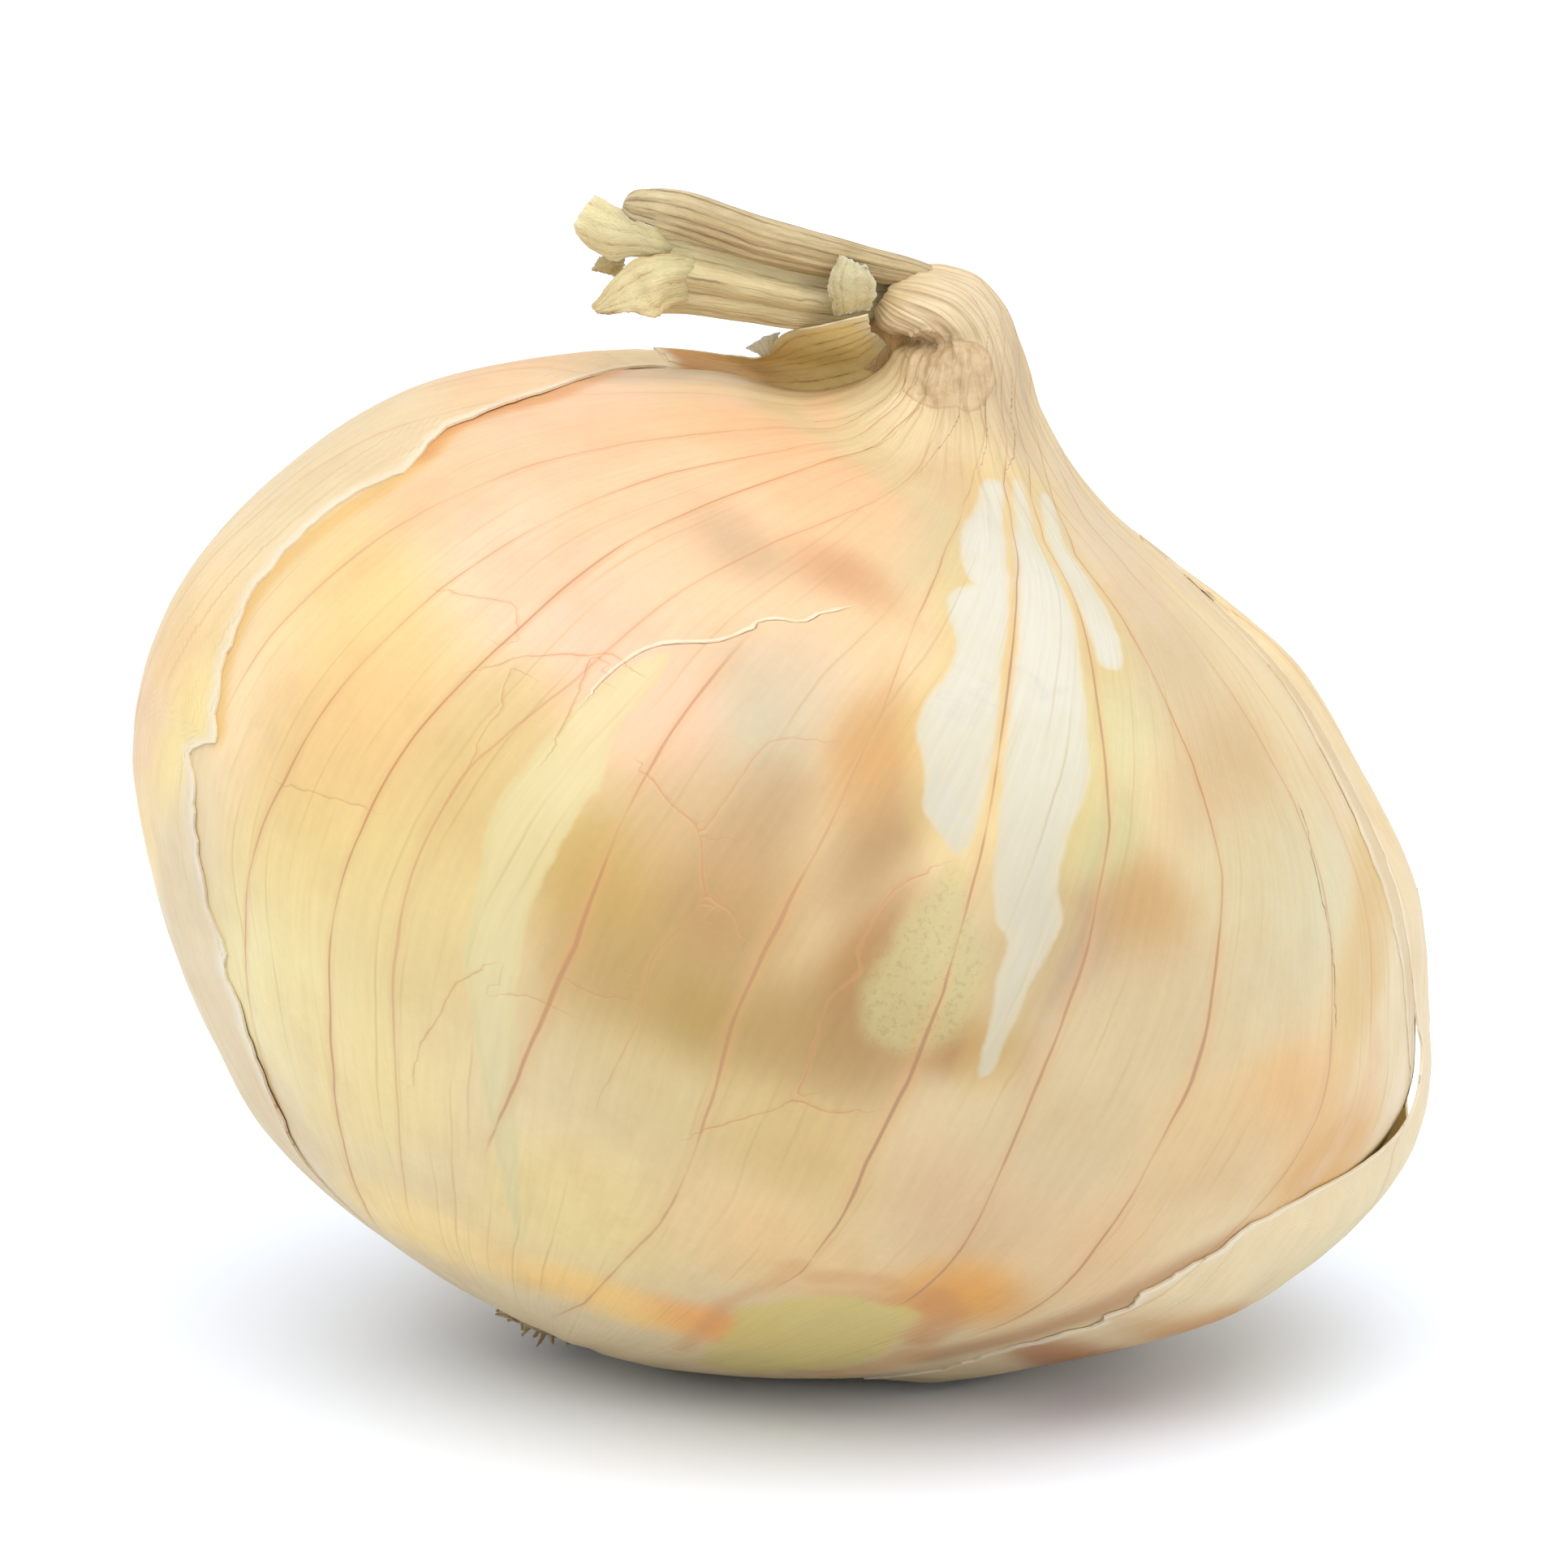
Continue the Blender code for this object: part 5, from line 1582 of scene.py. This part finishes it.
@dataclass(frozen=True)
class StrawFinish:
    """Dried leaf: straw to grey-brown, matt, with lengthwise veins and fibres."""

    name: str
    deep: Tone = (196, 172, 122)
    stripe: Tone = (140, 116, 76)
    vein_width: float = 0.12
    stripe_share: float = 0.6
    thread_shade: float = 0.3
    clouds: float = 0.3
    roughness: float = 0.6
    glow: float = 0.16

    def build(self) -> bpy.types.Material:
        """The material, whose grain map has one vein in each whole step across."""
        material, g, shader = new_material(self.name)
        place, (u, v) = g.place(), g.grain()
        colour = g.use(Effect.MOTTLE, Place=place, Base_Colour=g.field("tint", "Color"),
                       Deep_Colour=srgb(*self.deep), Clouds=self.clouds, Grain=0.14, Scale=230.0).outputs["Color"]
        fibres = g.use(Effect.FIBRES, Across=u, Along=v, Count=9.0, Length=7.0)
        colour = g.shade(colour, fibres.outputs["Value"], self.thread_shade)
        veins = g.use(Effect.FINE_VEINS, Across=u, Along=v, Count=1.0, Width=self.vein_width,
                      Share=self.stripe_share, Seed=3.0, Wander=0.35)
        colour = g.paint(colour, veins.outputs["Ridge"], 0.2, self.deep)
        colour = g.paint(colour, veins.outputs["Line"], 0.75, self.stripe)
        height = g.minus(fibres.outputs["Height"], g.times(veins.outputs["Ridge"], 0.7))
        height = g.plus(height, g.times(g.noise(place, 700.0, 4.0, 0.65), 0.9))
        g.fill(shader, Normal=g.bump(height, 0.5, 0.0002), Base_Color=colour, Roughness=self.roughness,
               Subsurface_Weight=self.glow, Subsurface_Radius=(1.0, 0.6, 0.3), Subsurface_Scale=0.0012,
               Specular_IOR_Level=0.3)
        return material


@dataclass
class Stalk:
    """The stalk's outer leaf: a wide tube that its torn tips grow from."""

    shape: StalkForm
    tones: tuple[Tone, ...] = ((212, 190, 142), (226, 209, 160), (224, 206, 158))
    columns: int = 220
    rows: int = 120
    outer_share: float = 0.78
    hollow: float = 1.7
    veins: float = 17.0

    def build(self, material: bpy.types.Material) -> None:
        """Builds and dresses the leaf, from inside the collar to its torn end and back inside."""
        out_rows = int(self.rows * self.outer_share)
        inner = self.rows - out_rows
        last = self.shape.last
        station = np.concatenate([np.linspace(0, last, out_rows), np.linspace(last, last - self.hollow, inner)])
        deep = np.concatenate([np.zeros(out_rows), np.linspace(0.02, 1, inner)])
        turns = np.linspace(0, 2 * np.pi, self.columns + 1)
        s, t = np.meshgrid(station, turns, indexing="ij")
        d = np.broadcast_to(deep[:, None], s.shape)
        reach, flare = self.shape.torn_end(s, t)
        torn = ease(last - 1.0, last, s)
        cx, cy = np.cos(t), np.sin(t)
        fray = 0.5 * ripple(cx * 3, cy * 3, 2.0) + 0.22 * ripple(cx * 9, cy * 9, 5.0)
        fray = fray + 0.1 * ripple(cx * 26, cy * 26, 2.0)
        wrinkle = 0.04 * ripple(cx * 4, cy * 4, s * 0.5) + 0.016 * ripple(cx * 11, cy * 11, s * 1.3)
        sunk = 0.16 * ease(0.1, 0.7, np.cos(t - 0.5)) * ease(2.0, 3.5, s)
        radius = 1 + flare + ease(2.2, 4.5, s) * wrinkle - sunk - (d > 0) * 0.09
        own = self.shape.point(s, t, radius, reach + fray * torn)
        above, front, below = (shades(tone) for tone in self.tones)
        tint = mixed(front, above, ease(0.1, 0.8, cx)) + (below - front) * ease(-0.1, -0.9, cx)[..., None]
        # painted shade: the hollow end's inside grows darker the deeper it goes
        tint = tint * (1 - 0.4 * d[..., None])
        sheet = Sheet(self.shape.form.to_world(own), t / (2 * np.pi) * self.veins, s / last, {"tint": tint},
                      closed=True)
        settle(sheet.to_piece("outer_leaf", material), "dry_straw", "stalk")


@dataclass
class RolledLeaf:
    """The tightly rolled inner leaf that runs along the top of the stalk, with a closed, folded end."""

    form: OnionForm
    path: tuple = (
        (-6.6, 74.0, -0.4, 0.7), (-7.9, 74.1, -0.6, 0.9), (-9.31, 73.9, -0.9, 1.0), (-11.41, 73.44, -1.2, 1.12),
        (-13.58, 73.0, -1.5, 1.25), (-16.11, 72.5, -1.7, 1.36), (-18.69, 72.05, -1.9, 1.44),
        (-21.34, 71.75, -2.0, 1.5), (-23.56, 71.55, -2.1, 1.56), (-25.3, 71.2, -2.2, 1.48),
        (-26.4, 70.9, -2.3, 1.3), (-27.2, 70.66, -2.3, 1.05), (-27.65, 70.54, -2.3, 0.7), (-27.85, 70.5, -2.3, 0.25),
    )
    tones: tuple[Tone, ...] = ((204, 180, 132), (216, 196, 152), (228, 212, 168))
    columns: int = 150
    rows: int = 170
    veins: float = 13.0

    def build(self, material: bpy.types.Material) -> None:
        """Builds and dresses the leaf."""
        last = len(self.path) - 1.0
        turns = np.linspace(0, 2 * np.pi, self.columns + 1)
        s, t = np.meshgrid(np.linspace(0, last, self.rows), turns, indexing="ij")
        row, _, upward = tube_frame(self.path, s)
        twist = t + 0.05 * s
        cx, cy = np.cos(t), np.sin(t)
        free = ease(1.0, 3.0, s)
        groove = 0.045 * np.cos(9 * twist) + 0.03 * np.cos(5 * twist + 1.0)
        for depth, at, width in ((0.16, 1.0, 0.16), (0.12, 1.75, 0.13)):
            groove = groove - depth * np.exp(-(((t - at) / width) ** 2))
        rough = 0.05 * ripple(cx * 4, cy * 4, s * 0.6) + 0.02 * ripple(cx * 12, cy * 12, s * 1.4)
        radius = (row[..., 3] * (1 + free * (groove + rough)))[..., None]
        spoke = upward * cx[..., None] + OUTWARD * cy[..., None]
        front, top, pale = (shades(tone) for tone in self.tones)
        tint = mixed(mixed(front, top, ease(0.2, 0.9, cx)), pale, 0.7 * ease(6.5, 10.0, s))
        sheet = Sheet(self.form.to_world(row[..., :3] + spoke * radius), twist / (2 * np.pi) * self.veins, s / last,
                      {"tint": tint}, closed=True)
        settle(sheet.to_piece("rolled_leaf", material), "dry_straw")


@dataclass
class Blade:
    """A small dried leaf or scrap from a coarse cage of points in the onion's own frame."""

    name: str
    cage: tuple
    tones: tuple[Tone, ...] = ((228, 210, 160), (242, 230, 196), (228, 210, 160))
    veins: float = 5.0
    thick: float = 0.12
    fray: float = 0.2
    seed: float = 0.0
    grain_turned: bool = False
    fine: int = 16
    wrinkle: float = 0.1

    def build(self, form: OnionForm, material: bpy.types.Material, slot: str, *nodes: str) -> None:
        """Builds and dresses the leaf.

        Args:
            form: The onion's form, for its frame.
            material: The leaf's finish.
            slot: The slot that the finish belongs to.
            *nodes: The plain solids that it stands for.
        """
        cage = np.array(self.cage, float)
        rows, columns = cage.shape[:2]
        r = np.linspace(0, rows - 1, (rows - 1) * self.fine + 1)
        c = np.linspace(0, columns - 1, (columns - 1) * self.fine + 1)
        along_rows = np.stack([hermite(cage[:, k], r) for k in range(columns)], axis=1)
        grid = np.stack([hermite(along_rows[k], c) for k in range(len(r))], axis=0)
        share_r, share_c = np.meshgrid(r / (rows - 1), c / (columns - 1), indexing="ij")
        toward = unit(grid - grid.mean(axis=(0, 1)))
        rim = np.maximum.reduce([ease(0.1, 0, share_r), ease(0.9, 1, share_r), ease(0.1, 0, share_c),
                                 ease(0.9, 1, share_c)])
        rough = ripple(share_r * 7, share_c * 7, self.seed) + 0.6 * ripple(share_r * 19, share_c * 19, self.seed + 4)
        grid = grid + toward * (rim * rough * self.fray)[..., None]
        bend = unit(np.cross(np.gradient(grid, axis=0), np.gradient(grid, axis=1)))
        waves = ripple(share_r * 3.5, share_c * 3.5, self.seed + 8)
        waves = waves + 0.5 * ripple(share_r * 9, share_c * 9, self.seed)
        grid = grid + bend * (waves * self.wrinkle)[..., None]
        body, edge, start = (shades(tone) for tone in self.tones)
        u, v = (share_r, share_c) if self.grain_turned else (share_c, share_r)
        tint = mixed(mixed(body, start, 1 - ease(0.1, 0.75, v)), edge, rim * 0.8)
        sheet = Sheet(form.to_world(grid), u * self.veins, v, {"tint": tint})
        settle(sheet.to_piece(self.name, material, self.thick), slot, *nodes)


NECK_BLADES = (
    Blade("upright_scrap", (
        ((-12.4, 69.55, -2.4), (-11.6, 70.23, -3.2), (-10.5, 70.89, -2.6)),
        ((-12.99, 70.33, -3.0), (-12.13, 71.18, -4.0), (-10.56, 71.91, -3.2)),
        ((-13.74, 71.47, -3.4), (-12.74, 72.41, -4.4), (-10.97, 72.81, -3.6)),
        ((-13.79, 73.42, -3.6), (-12.97, 73.48, -4.2), (-11.94, 73.41, -3.9)),
    ), seed=2.0, tones=((226, 214, 172), (244, 238, 214), (222, 206, 156)), fray=0.16),
    Blade("upper_petal", (
        ((-21.6, 68.7, 0.4), (-22.3, 69.6, 0.2), (-22.9, 70.4, 0.4)),
        ((-23.76, 68.24, -2.6), (-24.4, 69.25, -3.3), (-25.2, 70.2, -3.2)),
        ((-25.8, 67.74, -2.6), (-26.25, 68.86, -3.3), (-26.9, 69.95, -3.2)),
        ((-27.2, 66.78, -1.6), (-28.24, 68.13, -2.4), (-28.39, 70.25, -2.2)),
        ((-29.21, 67.09, -1.0), (-30.23, 67.96, -1.6), (-29.82, 70.24, -1.2)),
    ), seed=4.0, tones=((236, 220, 172), (240, 226, 186), (222, 204, 152)), fray=0.12),
    Blade("lower_petal", (
        ((-20.4, 69.3, 0.4), (-20.1, 68.4, 0.0), (-19.8, 67.5, 0.6)),
        ((-22.44, 69.14, -2.6), (-22.07, 68.33, -3.4), (-21.61, 66.6, -2.4)),
        ((-24.48, 68.55, -3.4), (-23.75, 67.48, -4.5), (-22.58, 65.66, -3.8)),
        ((-25.89, 67.29, -3.0), (-24.84, 66.02, -4.0), (-23.04, 64.86, -4.6)),
        ((-26.63, 65.05, -2.6), (-25.82, 64.56, -3.2), (-24.64, 64.56, -4.2)),
        ((-27.0, 63.66, -2.0), (-26.68, 63.48, -2.4), (-26.19, 63.55, -2.8)),
    ), seed=7.0, tones=((238, 218, 168), (226, 190, 132), (226, 208, 156)), fray=0.16, wrinkle=0.2),
    Blade("small_tongue", (
        ((-26.28, 67.19, 0.6), (-26.12, 66.58, 0.4), (-26.0, 66.03, 0.6)),
        ((-27.25, 66.75, 0.6), (-27.11, 66.18, 0.4), (-26.8, 65.74, 0.6)),
        ((-27.79, 66.49, 0.8), (-27.87, 65.96, 0.6), (-27.93, 65.49, 0.8)),
    ), seed=9.0, tones=((206, 190, 146), (232, 224, 196), (200, 184, 140)), fray=0.1),
    Blade("thin_lower_strip", (
        ((-18.9, 67.4, 0.8), (-18.9, 67.7, 0.4), (-18.95, 68.0, 0.2)),
        ((-20.9, 66.5, -0.6), (-20.9, 66.8, -1.4), (-20.99, 67.2, -2.0)),
        ((-22.66, 65.45, -1.8), (-22.99, 65.79, -2.4), (-23.17, 66.22, -2.8)),
    ), seed=1.0, tones=((238, 230, 204), (246, 242, 226), (232, 218, 178)), fray=0.05, wrinkle=0.04),
    Blade("tucked_fold", (
        ((-10.6, 71.2, 0.6), (-9.2, 71.1, 0.4), (-7.4, 71.6, 0.4)),
        ((-10.2, 69.9, 0.6), (-8.9, 69.8, 0.0), (-7.2, 70.2, 0.0)),
        ((-9.6, 68.4, 0.9), (-8.3, 68.6, 0.2), (-6.9, 69.0, 0.2)),
        ((-9.0, 66.9, 1.4), (-7.9, 67.2, 0.8), (-6.7, 67.8, 0.6)),
    ), seed=3.0, tones=((206, 170, 120), (220, 190, 142), (206, 170, 120)), fray=0.05),
    Blade("thin_white_bit", (
        ((-14.81, 65.52, 3.0), (-15.06, 65.03, 3.2), (-15.38, 64.7, 3.4)),
        ((-14.95, 66.1, 2.6), (-15.49, 65.47, 2.8), (-15.87, 64.76, 3.0)),
        ((-15.0, 66.73, 2.0), (-15.83, 65.96, 2.4), (-16.59, 64.79, 2.8)),
    ), seed=5.0, tones=((240, 238, 228), (250, 250, 246), (236, 230, 208)), fray=0.08, wrinkle=0.03),
)

SHEATH = Blade("curved_sheath", (
    ((-20.72, 61.14, 3.5), (-17.34, 61.75, 3.2), (-14.31, 62.32, 3.0), (-11.88, 63.21, 2.8), (-9.84, 64.41, 2.4),
     (-8.28, 66.14, 1.4), (-7.44, 68.39, 0.6)),
    ((-20.97, 61.93, 4.6), (-18.37, 62.44, 4.6), (-15.21, 63.27, 4.4), (-12.5, 64.57, 4.2), (-10.75, 65.91, 3.6),
     (-9.43, 67.43, 0.8), (-8.7, 69.2, -0.4)),
    ((-21.58, 61.93, 5.4), (-19.14, 62.54, 5.6), (-16.19, 63.34, 5.4), (-13.85, 64.97, 4.2), (-12.48, 66.36, 2.2),
     (-11.0, 68.02, -0.8), (-9.75, 69.55, -1.9)),
    ((-22.02, 61.99, 6.0), (-19.74, 62.81, 6.2), (-17.25, 63.58, 5.8), (-15.48, 64.38, 4.2), (-14.68, 66.9, 0.4),
     (-12.89, 68.63, -2.9), (-10.5, 70.61, -3.7)),
), seed=6.0, grain_turned=True, fine=20, tones=((246, 224, 160), (248, 238, 206), (206, 152, 94)), veins=8.0,
    fray=0.14, wrinkle=0.05)


# The roots


@dataclass(frozen=True)
class ThreadTree:
    """Turns polylines into tapered round threads with Geometry Nodes."""

    name: str = "tapered_threads"
    sides: int = 8

    def build(self) -> bpy.types.GeometryNodeTree:
        """The tree, with inputs for the radius, the tip's share of it and the material."""
        tree = bpy.data.node_groups.new(self.name, "GeometryNodeTree")
        tree.interface.new_socket("Threads", in_out="INPUT", socket_type="NodeSocketGeometry")
        radius = tree.interface.new_socket("Radius", in_out="INPUT", socket_type="NodeSocketFloat")
        radius.default_value = 0.0003
        tip = tree.interface.new_socket("Tip Share", in_out="INPUT", socket_type="NodeSocketFloat")
        tip.default_value = 0.4
        tree.interface.new_socket("Material", in_out="INPUT", socket_type="NodeSocketMaterial")
        tree.interface.new_socket("Threads", in_out="OUTPUT", socket_type="NodeSocketGeometry")
        g = Graph(tree)
        entry, leave = g.add("NodeGroupInput"), g.add("NodeGroupOutput")
        curve = g.add("GeometryNodeMeshToCurve", {0: entry.outputs["Threads"]}).outputs[0]
        fine = g.add("GeometryNodeResampleCurve", {"Curve": curve, "Count": 14}).outputs[0]
        share = g.add("GeometryNodeSplineParameter").outputs["Factor"]
        wobble = g.add("ShaderNodeTexNoise", {"Scale": 2600.0}).outputs["Fac"]
        size = g.grade(share, 0.0, 1.0, 1.0, entry.outputs["Tip Share"])
        size = g.times(size, g.grade(wobble, 0.2, 0.8, 0.7, 1.3))
        size = g.times(size, entry.outputs["Radius"])
        profile = g.add("GeometryNodeCurvePrimitiveCircle", {"Resolution": self.sides, "Radius": 1.0}).outputs[0]
        threads = g.add("GeometryNodeCurveToMesh", {"Curve": fine, "Profile Curve": profile, "Scale": size,
                                                   "Fill Caps": True}).outputs[0]
        smooth = g.add("GeometryNodeSetShadeSmooth", {0: threads}).outputs[0]
        real = g.add("GeometryNodeRealizeInstances", {0: smooth}).outputs[0]
        done = g.add("GeometryNodeSetMaterial", {"Geometry": real, "Material": entry.outputs["Material"]}).outputs[0]
        g.put(leave.inputs["Threads"], done)
        return tree

    @staticmethod
    def run(tree: bpy.types.GeometryNodeTree, name: str, lines: list[np.ndarray], radius: float, tip: float,
            material: bpy.types.Material) -> bpy.types.Object:
        """Threads along lines, as a plain mesh.

        Args:
            tree: The tree.
            name: The piece's name.
            lines: Points of each line, in metres.
            radius: The threads' radius at their roots, in metres.
            tip: The tip's share of it.
            material: The threads' finish.

        Returns:
            The piece.
        """
        points, edges = [], []
        for line in lines:
            edges += [(len(points) + k, len(points) + k + 1) for k in range(len(line) - 1)]
            points += line.tolist()
        mesh = bpy.data.meshes.new(name)
        mesh.from_pydata(points, edges, [])
        piece = new_piece(name, mesh, material)
        modifier = piece.modifiers.new("threads", "NODES")
        modifier.node_group = tree
        values = {"Radius": radius, "Tip Share": tip, "Material": material}
        for item in tree.interface.items_tree:
            if item.in_out == "INPUT" and item.name in values:
                modifier[item.identifier] = values[item.name]
        applied(piece)
        return piece


@dataclass
class Roots:
    """The root plate under the bulb with its dried rootlets."""

    form: OnionForm
    across: float = -2.4
    along: float = -0.15
    plate_radius: float = 2.7
    plate_height: float = 0.8
    rootlets: int = 46
    length: tuple[float, float] = (0.6, 1.4)
    spread: tuple[float, float] = (38, 82)
    radius: float = 0.0002
    tip: float = 0.45
    clearance: float = 0.55

    def lines(self) -> list[np.ndarray]:
        """The rootlets' lines, in metres."""
        draw = np.random.default_rng(11)
        found = []
        for number in range(self.rootlets):
            turn = number * math.pi * (3 - math.sqrt(5))
            reach = self.plate_radius * 0.95 * math.sqrt((number + 0.5) / self.rootlets)
            length = draw.uniform(*self.length)
            spread = math.radians(draw.uniform(*self.spread))
            side = turn + draw.uniform(-0.5, 0.5)
            aim = np.array([math.cos(side) * math.sin(spread), -math.cos(spread), math.sin(side) * math.sin(spread)])
            curl = draw.normal(0, 0.35, 3)
            t = np.linspace(0, 1, 6)[:, None]
            start = np.array([self.across + reach * math.cos(turn), self.along, reach * math.sin(turn)])
            own = start + aim * length * t + curl * t**2
            line = self.form.to_world(own)
            if line[:, 2].min() > self.clearance * MM:
                found.append(line)
        return found

    def build(self, tree: bpy.types.GeometryNodeTree, material: bpy.types.Material) -> None:
        """Builds and dresses the plate and the rootlets."""
        r = np.linspace(0.02, math.pi - 0.02, 18)
        t = np.linspace(0, 2 * np.pi, 41)
        polar, turn = np.meshgrid(r, t, indexing="ij")
        bumps = 1 + 0.12 * ripple(np.cos(turn) * 3, np.sin(turn) * 3, polar * 2)
        size = self.plate_radius * np.sin(polar) * bumps
        x, z = size * np.cos(turn), size * np.sin(turn)
        y = -np.cos(polar) * self.plate_height / 2 * bumps
        points = self.form.to_world(np.stack([self.across + x, self.along + y, z], axis=-1))
        sheet = Sheet(points, turn / (2 * np.pi), polar, closed=True)
        settle(sheet.to_piece("root_plate", material), "dry_root", "roots")
        rootlets = ThreadTree.run(tree, "rootlets", self.lines(), self.radius, self.tip, material)
        settle(rootlets, "dry_root")


@dataclass(frozen=True)
class RootFinish:
    """Dried rootlets: brown to straw, matt."""

    name: str = "dried_rootlets"

    def build(self) -> bpy.types.Material:
        """The material."""
        material, g, shader = new_material(self.name)
        colour = g.use(Effect.MOTTLE, Place=g.place(), Base_Colour=srgb(214, 188, 148),
                       Deep_Colour=srgb(150, 116, 80), Clouds=0.8, Grain=0.3, Scale=900.0).outputs["Color"]
        g.fill(shader, Base_Color=colour, Roughness=0.8)
        return material


# The studio


@dataclass
class Studio:
    """The white room, its soft lights, the pale floor and the camera."""

    aim: tuple[float, float, float] = (-1.42, 0.0, 38.54)
    height_angle: float = 10.0
    distance: float = 450.0
    lens: float = 156.6
    floor_size: float = 6.0
    floor_colour: tuple[float, float, float] = (0.84, 0.9, 1.0)
    ambient: float = 0.9
    backdrop: float = 1.02

    def camera(self) -> None:
        """The photograph's camera."""
        data = bpy.data.cameras.new("camera")
        data.lens = self.lens
        data.sensor_width = 36.0
        data.clip_start = 0.01
        camera = bpy.data.objects.new("camera", data)
        bpy.context.scene.collection.objects.link(camera)
        tilt = math.radians(self.height_angle)
        back = Vector((0, -math.cos(tilt), math.sin(tilt))) * self.distance
        camera.location = (Vector(self.aim) + back) * MM
        camera.rotation_euler = (math.pi / 2 - tilt, 0, 0)
        bpy.context.scene.camera = camera

    def light(self, name: str, place: tuple[float, float, float], size: float, power: float,
              colour: tuple[float, float, float] = (1, 1, 1)) -> None:
        """A soft square light that looks at the onion.

        Args:
            name: The light's name.
            place: Its place in metres.
            size: Its side in metres.
            power: Its power in watts.
            colour: Its colour.
        """
        data = bpy.data.lights.new(name, "AREA")
        data.size = size
        data.energy = power
        data.color = colour
        lamp = bpy.data.objects.new(name, data)
        bpy.context.scene.collection.objects.link(lamp)
        lamp.location = place
        lamp.rotation_euler = (Vector((0, 0, 0.04)) - Vector(place)).to_track_quat("-Z", "Y").to_euler()

    def sun(self, name: str, place: tuple[float, float, float], angle: float, strength: float) -> None:
        """A wide soft sun that shines from a direction, with its angle in degrees."""
        data = bpy.data.lights.new(name, "SUN")
        data.angle = math.radians(angle)
        data.energy = strength
        lamp = bpy.data.objects.new(name, data)
        bpy.context.scene.collection.objects.link(lamp)
        lamp.rotation_euler = Vector(place).to_track_quat("Z", "Y").to_euler()

    def floor(self) -> None:
        """The pale table."""
        mesh = bpy.data.meshes.new("table")
        s = self.floor_size
        mesh.from_pydata([(-s, -s, 0), (s, -s, 0), (s, s, 0), (-s, s, 0)], [], [(0, 1, 2, 3)])
        material, graph, shader = new_material("pale_table")
        graph.fill(shader, Base_Color=self.floor_colour, Roughness=0.9, Specular_IOR_Level=0.1)
        new_piece("table", mesh, material)

    def world(self) -> None:
        """Even white surroundings."""
        world = bpy.data.worlds.new("white_room")
        world.use_nodes = True
        g = Graph(world.node_tree)
        seen = g.add("ShaderNodeLightPath").outputs["Is Camera Ray"]
        background = world.node_tree.nodes["Background"]
        background.inputs["Color"].default_value = (1, 1, 1, 1)
        g.put(background.inputs["Strength"], g.grade(seen, 0.0, 1.0, self.ambient, self.backdrop))
        bpy.context.scene.world = world

    def build(self) -> None:
        """Sets the whole studio up."""
        self.world()
        self.floor()
        self.camera()
        self.sun("high_soft_light", (0.0, -0.42, 1.0), 70.0, 1.8)
        self.light("key", (-0.5, -0.8, 0.75), 0.35, 1.6)
        self.light("fill", (0.85, -0.8, 0.45), 0.5, 2.6)
        bpy.context.scene.view_settings.view_transform = "Standard"


def main() -> None:
    """Builds the onion piece by piece, and its studio."""
    logging.basicConfig(level=logging.INFO, format="%(name)s: %(message)s")
    EffectLibrary().build()
    golden = SkinFinish("tight_golden_skin").build()
    papery = SkinFinish("loose_papery_skin", roughness=0.5, marked=False, thread_shade=0.2).build()
    straw = StrawFinish("dried_straw").build()
    rolled = StrawFinish("rolled_straw", deep=(176, 148, 102), stripe=(116, 94, 62), vein_width=0.16,
                         stripe_share=0.75, thread_shade=0.42, clouds=0.45).build()
    torn = StrawFinish("torn_straw", stripe=(170, 132, 84), stripe_share=0.35, clouds=0.18, glow=0.3).build()
    sheath = StrawFinish("sheath_straw", deep=(206, 168, 108), stripe=(160, 112, 62), vein_width=0.11,
                         clouds=0.25).build()
    root = RootFinish().build()
    threads = ThreadTree().build()
    Bulb(FORM, BulbMarks(patches=FRONT_PATCHES)).build(golden)
    OuterSkin(FORM).build(papery, OUTER_PATCHES)
    RIGHT_LAYER.build(papery, "papery_skin")
    Stalk(StalkForm(FORM)).build(straw)
    RolledLeaf(FORM).build(rolled)
    for blade in NECK_BLADES:
        blade.build(FORM, torn, "dry_straw")
    SHEATH.build(FORM, sheath, "dry_straw", "neck_sheath")
    Roots(FORM).build(threads, root)
    Studio().build()
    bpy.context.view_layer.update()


if __name__ == "__main__":
    main()
